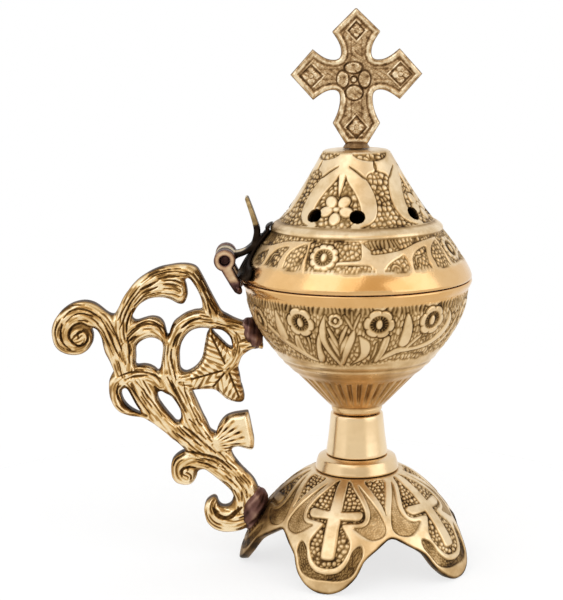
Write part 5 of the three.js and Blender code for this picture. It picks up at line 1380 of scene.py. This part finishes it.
# The right half of the outline, from the top tip round to the foot
half_line = np.vstack([
    [(0, 20.1)], bezier([(7.4, 12.9), (5.5, 10.4), (4.6, 8.6), (4.6, 6.6)]),
    bezier([(4.6, 6.6), (4.6, 4.4), (6.8, 4.4)]),
    bezier([(6.8, 4.4), (9, 4.4), (10.6, 5.4), (13.3, 7.7)]), [(13.3, 7.7), (20.2, 0)],
    bezier([(13.3, -7.7), (10.6, -5.6), (9, -4.7), (7.3, -4.7)]), bezier([(7.3, -4.7), (5, -4.7), (5, -7.2)]),
    bezier([(5, -7.2), (5, -9.8), (5.7, -12), (7.3, -14.9)]), [(7.3, -14.9), (3.3, -21.4)]])
cross_outline = np.vstack([half_line, half_line[:0:-1] * (-1, 1)]) + [0, CROSS_Z]
CROSS_HALF = 1.6


def cross_outside(x, z):
    return np.maximum(patch(x, z, cross_outline), 132.9 - z)


def flower_height(x, z, middle_x, middle_z, size, petals):
    """0 to 1: petals round an eye, whose reach swings with the angle, and a dark ring between eye and
    petals."""
    rho = np.hypot(x - middle_x, z - middle_z)
    theta = np.arctan2(z - middle_z, x - middle_x)
    reach = size * (0.62 + 0.38 * np.abs(np.cos(petals / 2 * theta)))
    petal = 1 - smooth(rho, reach - 0.3, reach + 0.25)
    split = smooth(np.abs(np.cos(petals / 2 * theta)), 0.0, 0.35)
    eye = 1 - smooth(rho, 0.24 * size, 0.3 * size)
    ring = smooth(rho, 0.3 * size, 0.42 * size)
    return np.maximum(eye, petal * ring * lerp(0.35, 1, split))


def laid(face, away, level):
    """The face with a shape raised on it: sunk in a narrow moat outside it, and at its own level inside."""
    return np.maximum(face * smooth(away, 0.0, 0.45), level * smooth(-away, -0.05, 0.4))


# The lozenge in each arm and the ovals of the middle rosette, as (x, z from the middle, half width, half
# height)
LOZENGES = [(-13.9, -0.4, 4.1, 4.1), (13.5, -0.1, 4.1, 4.1), (0, 13.2, 3.1, 3.4), (0, -16.2, 3.7, 4.1)]
PETALS = [(-4.2, -1.5, 1.9, 2.7), (2.5, -1.5, 1.9, 2.7), (-0.9, 2.0, 2.8, 1.8), (-0.7, -5.6, 2.7, 2.3)]


def cross_face(x, z, depth):
    """Relief 0 to 1 of the cross: a broad rim, a grainy field, ridges along the arms, lozenges, and the
    rosette."""
    v = z - CROSS_Z
    grain = 0.5 + 0.5 * np.sin(x * 5.3 + 1.7 * np.sin(z * 3.1)) * np.sin(z * 5.9 + 1.3 * np.sin(x * 2.7))
    face = 0.5 + 0.36 * grain
    across = np.minimum(np.abs(x), np.abs(v))
    face = face * (1 - 0.4 * np.exp(-((across - 1.6) / 0.25) ** 2) * smooth(np.hypot(x, v), 5, 6))
    for middle_x, middle_v, wide, high in LOZENGES:
        away = (np.abs(x - middle_x) / wide + np.abs(v - middle_v) / high - 1) * 0.7 * min(wide, high)
        bud = flower_height(x, v, middle_x, middle_v, 0.62 * wide, 4)
        face = lerp(face, 0.22 + 0.3 * grain + 0.5 * bud, smooth(-away, 0.1, 0.4))
        frame_line = 0.9 * (1 - smooth(np.abs(away), 0.12, 0.42))
        face = np.maximum(face * smooth(np.abs(away + 0.15), 0.1, 0.7), frame_line)
    for middle_x, middle_v, wide, high in PETALS:
        away = (np.hypot((x - middle_x) / wide, (v - middle_v) / high) - 1) * min(wide, high)
        face = laid(face, away, 0.98 - 0.16 * smooth(-away, 0.55, 1.0) - 0.26 * grain)
    face = laid(face, np.hypot(x + 0.8, v + 1.6) - 0.95, 0.95)
    face = face * (1 - 0.6 * np.exp(-((depth - 1.95) / 0.28) ** 2))
    # Old polish sits in pits of the field, and in a broken line that follows the outline on the rim
    pits = np.sin(x * 1.7 + 1.9 * np.sin(v * 1.1)) * np.sin(v * 2.1 + 1.6 * np.sin(x * 0.9))
    pits = smooth(pits, 0.35, 0.85)
    broken = 0.5 + 0.5 * np.sin(x * 0.8 + 2.1 * np.sin(v * 0.55) + 1.2)
    rim = 0.99 - 0.14 * grain - 0.6 * broken * np.exp(-((depth - 0.55) / 0.2) ** 2)
    return np.clip(lerp(rim, face * (1 - 0.42 * pits), smooth(depth, 1.25, 1.6)), 0, 1)


def cross_half(x, z, depth):
    """The rim stands at the full half thickness, with a round outer edge, and the low places of the field
    lie up to 0.55 mm lower."""
    edge = lerp(0.62, 1.0, 1 - (1 - np.clip(depth / 0.9, 0, 1)) ** 2)
    return CROSS_HALF * edge - 0.55 * (1 - cross_face(x, z, depth)) * smooth(depth, 0.6, 1.2)


def cross_tone(x, z, depth):
    """The relief, with a thin line of painted shade along the outline."""
    return cross_face(x, z, depth) * lerp(0.45, 1.0, smooth(depth, 0.0, 0.4))


cross = plate("cross_face", (-21.5, 132), (21.5, 174.5), 0.2, cross_outside, cross_half, cross_tone)
cross_foot = turned_piece("cross_foot", [
    (0.02, 124.9), (1.8, 125.1), (1.8, 131.7), (4.05, 131.7), (4.15, 131.85), (3.85, 132.3), (3.5, 132.8),
    (3.3, 133.2), (1.4, 133.5), (0.02, 133.6)], columns=64, tone=0.4)
finish_with(cross, cross_brass, "lid_body", "aged_brass", "cross_finial")
finish_with(cross_foot, cross_brass, "lid_body", "aged_brass")

# %% [markdown]
# ## The hinge
# A fork with two ears is brazed to the bowl. Between the ears turns the knuckle of a leaf whose arm runs to
# a pad brazed on the lid, and a thumb lever rises where they meet. The torch left the leaf black, and the
# lever's tip is rubbed bright. Ears, web and leaf are flat plates seen from the front, and the pad is a
# plate bent to the lid.

# %% Hinge
EAR_HALF, EAR_Y, EYE_RADIUS, PIN_BORE = 2.0, 7.0, 3.35, 1.5
EAR_ARM = curve([(HINGE_X, HINGE_Z, 2.2), (-40.2, 95.2, 1.75), (-39.1, 93.0, 1.6), (-37.9, 90.9, 1.6),
                 (-36.9, 89.2, 1.5)])


def from_pin(x, z):
    return np.hypot(x - HINGE_X, z - HINGE_Z)


def ear_outside(x, z):
    """An eye round the pin and an arm that leans down to the bowl, with the bore taken out."""
    body = np.minimum(from_pin(x, z) - EYE_RADIUS, pen(x, z, EAR_ARM))
    return np.maximum(np.maximum(body, PIN_BORE - from_pin(x, z)), x + RIM_RADIUS + 0.3)


def rounded(half, rim=0.5):
    """A half thickness that falls by 0.35 mm within rim millimetres of the outline."""
    return lambda x, z, depth: half - 0.35 * (1 - np.clip(depth / rim, 0, 1)) ** 2


def ear_tone(x, z, depth):
    """Mauve brown near the braze and pale above, with painted shade round the pin and along the outline."""
    pale = lerp(0.12, 0.86, smooth(z, 90.2, 92.6))
    # Painted shade along the outline and round the pin's bore
    pale = pale * lerp(0.4, 1.0, smooth(depth, 0.1, 0.9))
    return pale * lerp(0.3, 1.0, smooth(from_pin(x, z), PIN_BORE, PIN_BORE + 0.45))


def moved(y):
    return lambda corners: corners + (0, y, 0)


ears = [plate(f"hinge_ear_{side}", (-45, 86), (-36, 102), 0.2, ear_outside, rounded(EAR_HALF), ear_tone,
              bend=moved(y)) for side, y in (("front", -EAR_Y), ("back", EAR_Y))]
finish_with(ears[0], ear_brass, "base", "aged_brass", "hinge_bracket")
finish_with(ears[1], ear_brass, "base", "aged_brass")
web = plate("hinge_web", (-39, 87), (-36, 92), 0.2,
            lambda x, z: np.maximum(np.abs(x + 36.95) - 0.6, np.abs(z - 89.4) - 1.4), rounded(4.95),
            lambda x, z, depth: 0.15 + 0 * x)
finish_with(web, ear_brass, "base", "aged_brass")

ARM = curve([(HINGE_X + 1.6, 98.3, 1.5), (-37.4, 98.9, 0.85), (-35.2, 99.6, 0.7), (-33.0, 100.9, 0.85),
             (-31.2, 102.7, 1.0), (-29.6, 104.2, 0.8)])
LEVER = curve([(-32.4, 100.9, 0.9), (-31.4, 103.4, 1.05), (-31.0, 106.2, 1.0), (-31.6, 109.0, 0.8),
               (-32.6, 112.2, 0.7), (-34.0, 116.3, 0.6)])


def leaf_outside(x, z):
    """Knuckle, arm and lever in one, kept off the lid, with the pin's bore taken out."""
    body = np.minimum(np.minimum(from_pin(x, z) - 3.2, pen(x, z, ARM)), pen(x, z, LEVER))
    lid_face = np.interp(z, lid_outside[1:, 1], lid_outside[1:, 0]) + 0.35
    return np.maximum(np.maximum(body, 1.6 - from_pin(x, z)), x + lid_face)


def leaf_half(x, z, depth):
    """The knuckle fills the fork, the arm is a little narrower and the lever narrower still."""
    wide = lerp(4.65, 4.2, smooth(from_pin(x, z), 3.2, 3.8))
    return lerp(wide, 3.4, smooth(z, 101.6, 103.4)) - 0.35 * (1 - np.clip(depth / 0.5, 0, 1)) ** 2


def leaf_tone(x, z, depth):
    """Black from the knuckle to half way up the lever, then rubbed brass."""
    return lerp(0.3, 0.86, smooth(z - 0.25 * x, 115.2, 116.8))


# The side walls of the knuckle and arm, whose tops face up, are painted bright as a highlight, and those of
# the lever darker as painted shade
leaf = plate("hinge_leaf", (-45, 94), (-28, 119), 0.2, leaf_outside, leaf_half, leaf_tone,
             side_tone=lambda x, z: lerp(3.2, 0.6, smooth(x, -35.5, -33.5)))
finish_with(leaf, black_brass, "lid_body", "aged_brass", "lid_hinge_leaf")

PAD_HALF = [(13, 92.4), (13, 95.9), (9.1, 96.9), (5.2, 99.4), (4.3, 102.6), (3.6, 108.2)]
PAD = closed_curve(PAD_HALF + [(-y, z) for y, z in PAD_HALF[::-1]], 4)


def onto_lid(corners):
    """The pad's corners (across, through, up) laid round the lid at -X: the radius is the lid's own at that
    height, plus the gap, half the pad's thickness and what the corner stands out."""
    across, through, up = corners.T
    radius = np.interp(up, lid_outside[1:, 1], lid_outside[1:, 0]) + 1.0 - through
    return np.stack([-np.sqrt(radius ** 2 - across ** 2), -across, up], -1)


pad = plate("hinge_pad", (-14, 91.5), (14, 109), 0.3, lambda y, z: patch(y, z, PAD), rounded(0.6, 0.9),
            lambda y, z, depth: 0.3 + 0 * y, bend=onto_lid)
finish_with(pad, black_brass, "lid_body", "aged_brass")

# %% [markdown]
# ## Braze
# The founder brazed the handle and the fork on with a torch. The filler set as lumpy mauve-brown fillets
# round the roots. Each is a ball squashed to its place, with waves of a few lengths for the lumps.

# %% Braze


def lump(name, centre, radii, lean, seed):
    """A closed lumpy ball. lean tips its upright axis towards +X, in degrees, to lie along a sloping wall."""
    rows, columns = 40, 64
    phase = np.random.default_rng(seed).uniform(0, 2 * np.pi, 6)
    down = (np.arange(rows) + 0.5) / rows * np.pi
    turn = np.arange(columns) / columns * 2 * np.pi
    down, turn = np.meshgrid(down, turn, indexing="ij")
    wave = (np.sin(3 * turn + phase[0] + 2 * np.cos(down)) + 0.7 * np.sin(5 * turn + 7 * down + phase[1])
            + 0.5 * np.sin(9 * down - 4 * turn + phase[2]) + 0.35 * np.sin(13 * turn + 11 * down + phase[3]))
    size = 1 + 0.05 * wave * np.sin(down)
    body = np.stack([size * np.sin(down) * np.cos(turn), size * np.sin(down) * np.sin(turn),
                     size * np.cos(down)], -1).reshape(-1, 3)
    points = np.vstack([[(0, 0, 1)], body, [(0, 0, -1)]]) * radii
    tip = np.radians(lean)
    x = points[:, 0] * np.cos(tip) + points[:, 2] * np.sin(tip)
    z = points[:, 2] * np.cos(tip) - points[:, 0] * np.sin(tip)
    points = np.stack([x, points[:, 1], z], -1) + centre
    here = np.arange(columns)
    beside = (here + 1) % columns
    last = rows * columns + 1
    top = np.stack([np.zeros(columns, int), 1 + here, 1 + beside], -1)
    bottom = np.stack([np.full(columns, last), last - columns + beside, last - columns + here], -1)
    sides = grid_faces(rows, columns)[:, ::-1] + 1
    tone = np.concatenate([[0.5], 0.5 + 0.2 * wave.ravel(), [0.5]])
    return make_mesh(name, points, [top, sides, bottom], {"relief": np.clip(tone, 0, 1)})


for name, centre, radii, lean, seed in (
        ("braze_bowl", (-33.0, 0, 73.6), (3.3, 4.3, 5.2), -20, 3),
        ("braze_foot", (-33.1, 0, 16.3), (4.2, 5.2, 7.2), 16, 4),
        ("braze_ear_front", (-36.9, -7, 88.9), (1.1, 2.5, 1.7), -20, 5),
        ("braze_ear_back", (-36.9, 7, 88.9), (1.1, 2.5, 1.7), -20, 6)):
    finish_with(lump(name, centre, radii, lean, seed), braze, "base", "aged_brass")

# %% [markdown]
# ## Pieces taken straight from the frame
# The rod, its washer and nuts, and the hinge pin have the right shape already and only get a finish. The
# pin's ends are as brown as the braze.

# %% Plain pieces
for node_name, material in (("tie_rod", iron), ("tie_rod_washer", iron), ("tie_rod_nut", iron),
                            ("finial_nut", iron), ("hinge_pin", braze)):
    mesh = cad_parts[node_name].data
    mesh.materials.clear()
    mesh.materials.append(material)

# %% [markdown]
# ## Studio
# A white studio: the background is white to the camera and to reflections, and soft lamps light the brass.
# Cards that only reflections see stand for the room round the table, and the floor keeps the censer's faint
# shadow.

# %% Camera, light and floor
scene = bpy.context.scene
scene.view_settings.view_transform = "Standard"
# The camera's lens, place, tilt and roll were fitted to the photo
camera_data = bpy.data.cameras.new("camera")
camera_data.lens = 96.95
camera_data.sensor_width = 36
camera_data.clip_start = 0.02
camera_data.clip_end = 20
camera = bpy.data.objects.new("camera", camera_data)
scene.collection.objects.link(camera)
camera.matrix_world = (Matrix.Translation(Vector((AXIS_X - 23.61, -500, 173.2)) * MM)
                       @ Matrix.Rotation(np.radians(79.893), 4, "X")
                       @ Matrix.Rotation(np.radians(-0.567), 4, "Z"))
scene.camera = camera

world = bpy.data.worlds.new("studio")
scene.world = world
world.use_nodes = True
tree = world.node_tree
tree.nodes.clear()
rays = add(tree, "ShaderNodeLightPath")
seen = add(tree, "ShaderNodeMath", {0: rays.outputs["Is Camera Ray"], 1: rays.outputs["Is Glossy Ray"]},
           operation="MAXIMUM").outputs[0]
seen = add(tree, "ShaderNodeMath", {0: seen, 1: rays.outputs["Is Transmission Ray"]},
           operation="MAXIMUM").outputs[0]
soft = add(tree, "ShaderNodeBackground", {"Color": (1, 1, 1, 1), "Strength": 0.97})
white = add(tree, "ShaderNodeBackground", {"Color": (1, 1, 1, 1), "Strength": 1.0})
mixed = add(tree, "ShaderNodeMixShader", {0: seen, 1: soft.outputs[0], 2: white.outputs[0]})
add(tree, "ShaderNodeOutputWorld", {"Surface": mixed.outputs[0]})


def lamp(name, place, aim, size, watts):
    """A square soft white lamp at a place in millimetres from the censer's axis, turned towards aim."""
    data = bpy.data.lights.new(name, "AREA")
    data.shape = "SQUARE"
    data.size = size * MM
    data.energy = watts
    obj = bpy.data.objects.new(name, data)
    scene.collection.objects.link(obj)
    spot = Vector((place[0] + AXIS_X, place[1], place[2])) * MM
    target = Vector((aim[0] + AXIS_X, aim[1], aim[2])) * MM
    obj.location = spot
    obj.rotation_euler = (target - spot).to_track_quat("-Z", "Y").to_euler()


lamp("key", (-260, -420, 520), (0, 0, 90), 600, 0.8)
lamp("fill", (420, -260, 260), (0, 0, 80), 500, 0.6)


def card(name, corners, code, strength):
    """A glowing card that only reflections see. It stands for a part of the room, brighter or darker than
    white."""
    mesh = bpy.data.meshes.new(name)
    mesh.from_pydata([(x * MM, y * MM, z * MM) for x, y, z in corners], [], [(0, 1, 2, 3)])
    obj = bpy.data.objects.new(name, mesh)
    scene.collection.objects.link(obj)
    material, tree, shader = new_material(name)
    glow = add(tree, "ShaderNodeEmission", {"Color": srgb(code), "Strength": strength})
    tree.links.new(glow.outputs[0], tree.nodes["Material Output"].inputs["Surface"])
    mesh.materials.append(material)
    obj.visible_camera = False
    obj.visible_diffuse = False
    obj.visible_shadow = False


card("room in front", [(-900, -900, 0), (900, -900, 0), (900, -900, 420), (-900, -900, 420)], "#ECE6DA", 1.0)
card("window at the left", [(-900, -900, 0), (-900, 300, 0), (-900, 300, 900), (-900, -900, 900)],
     "#FFFCF6", 1.18)
card("table in front", [(-900, -900, 1), (900, -900, 1), (900, 60, 1), (-900, 60, 1)], "#FAF2E4", 1.0)
card("warm wall", [(-350, -900, 480), (1350, -900, 480), (1350, -900, 1500), (-350, -900, 1500)],
     "#EBCFA2", 1.0)

floor_mesh = bpy.data.meshes.new("floor")
# Half the floor's width in metres
reach = 1.5
floor_mesh.from_pydata([(-reach, -reach, 0), (reach, -reach, 0), (reach, reach, 0), (-reach, reach, 0)], [],
                       [(0, 1, 2, 3)])
floor = bpy.data.objects.new("floor", floor_mesh)
scene.collection.objects.link(floor)
paper, tree, shader = new_material("white paper sweep")
shader.inputs["Base Color"].default_value = srgb("#FDFDFD")
shader.inputs["Roughness"].default_value = 0.9
shader.inputs["Specular IOR Level"].default_value = 0.0
where = add(tree, "ShaderNodeTexCoord").outputs["Object"]
away = add(tree, "ShaderNodeVectorMath", {0: where}, operation="LENGTH").outputs["Value"]
fade = add(tree, "ShaderNodeMapRange", {"Value": away, "From Min": 0.12, "From Max": 0.42, "To Min": 0.74},
           interpolation_type="SMOOTHSTEP").outputs["Result"]
clear = add(tree, "ShaderNodeBsdfTransparent")
mixed = add(tree, "ShaderNodeMixShader", {0: fade, 1: shader.outputs[0], 2: clear.outputs[0]})
tree.links.new(mixed.outputs[0], tree.nodes["Material Output"].inputs["Surface"])
floor_mesh.materials.append(paper)
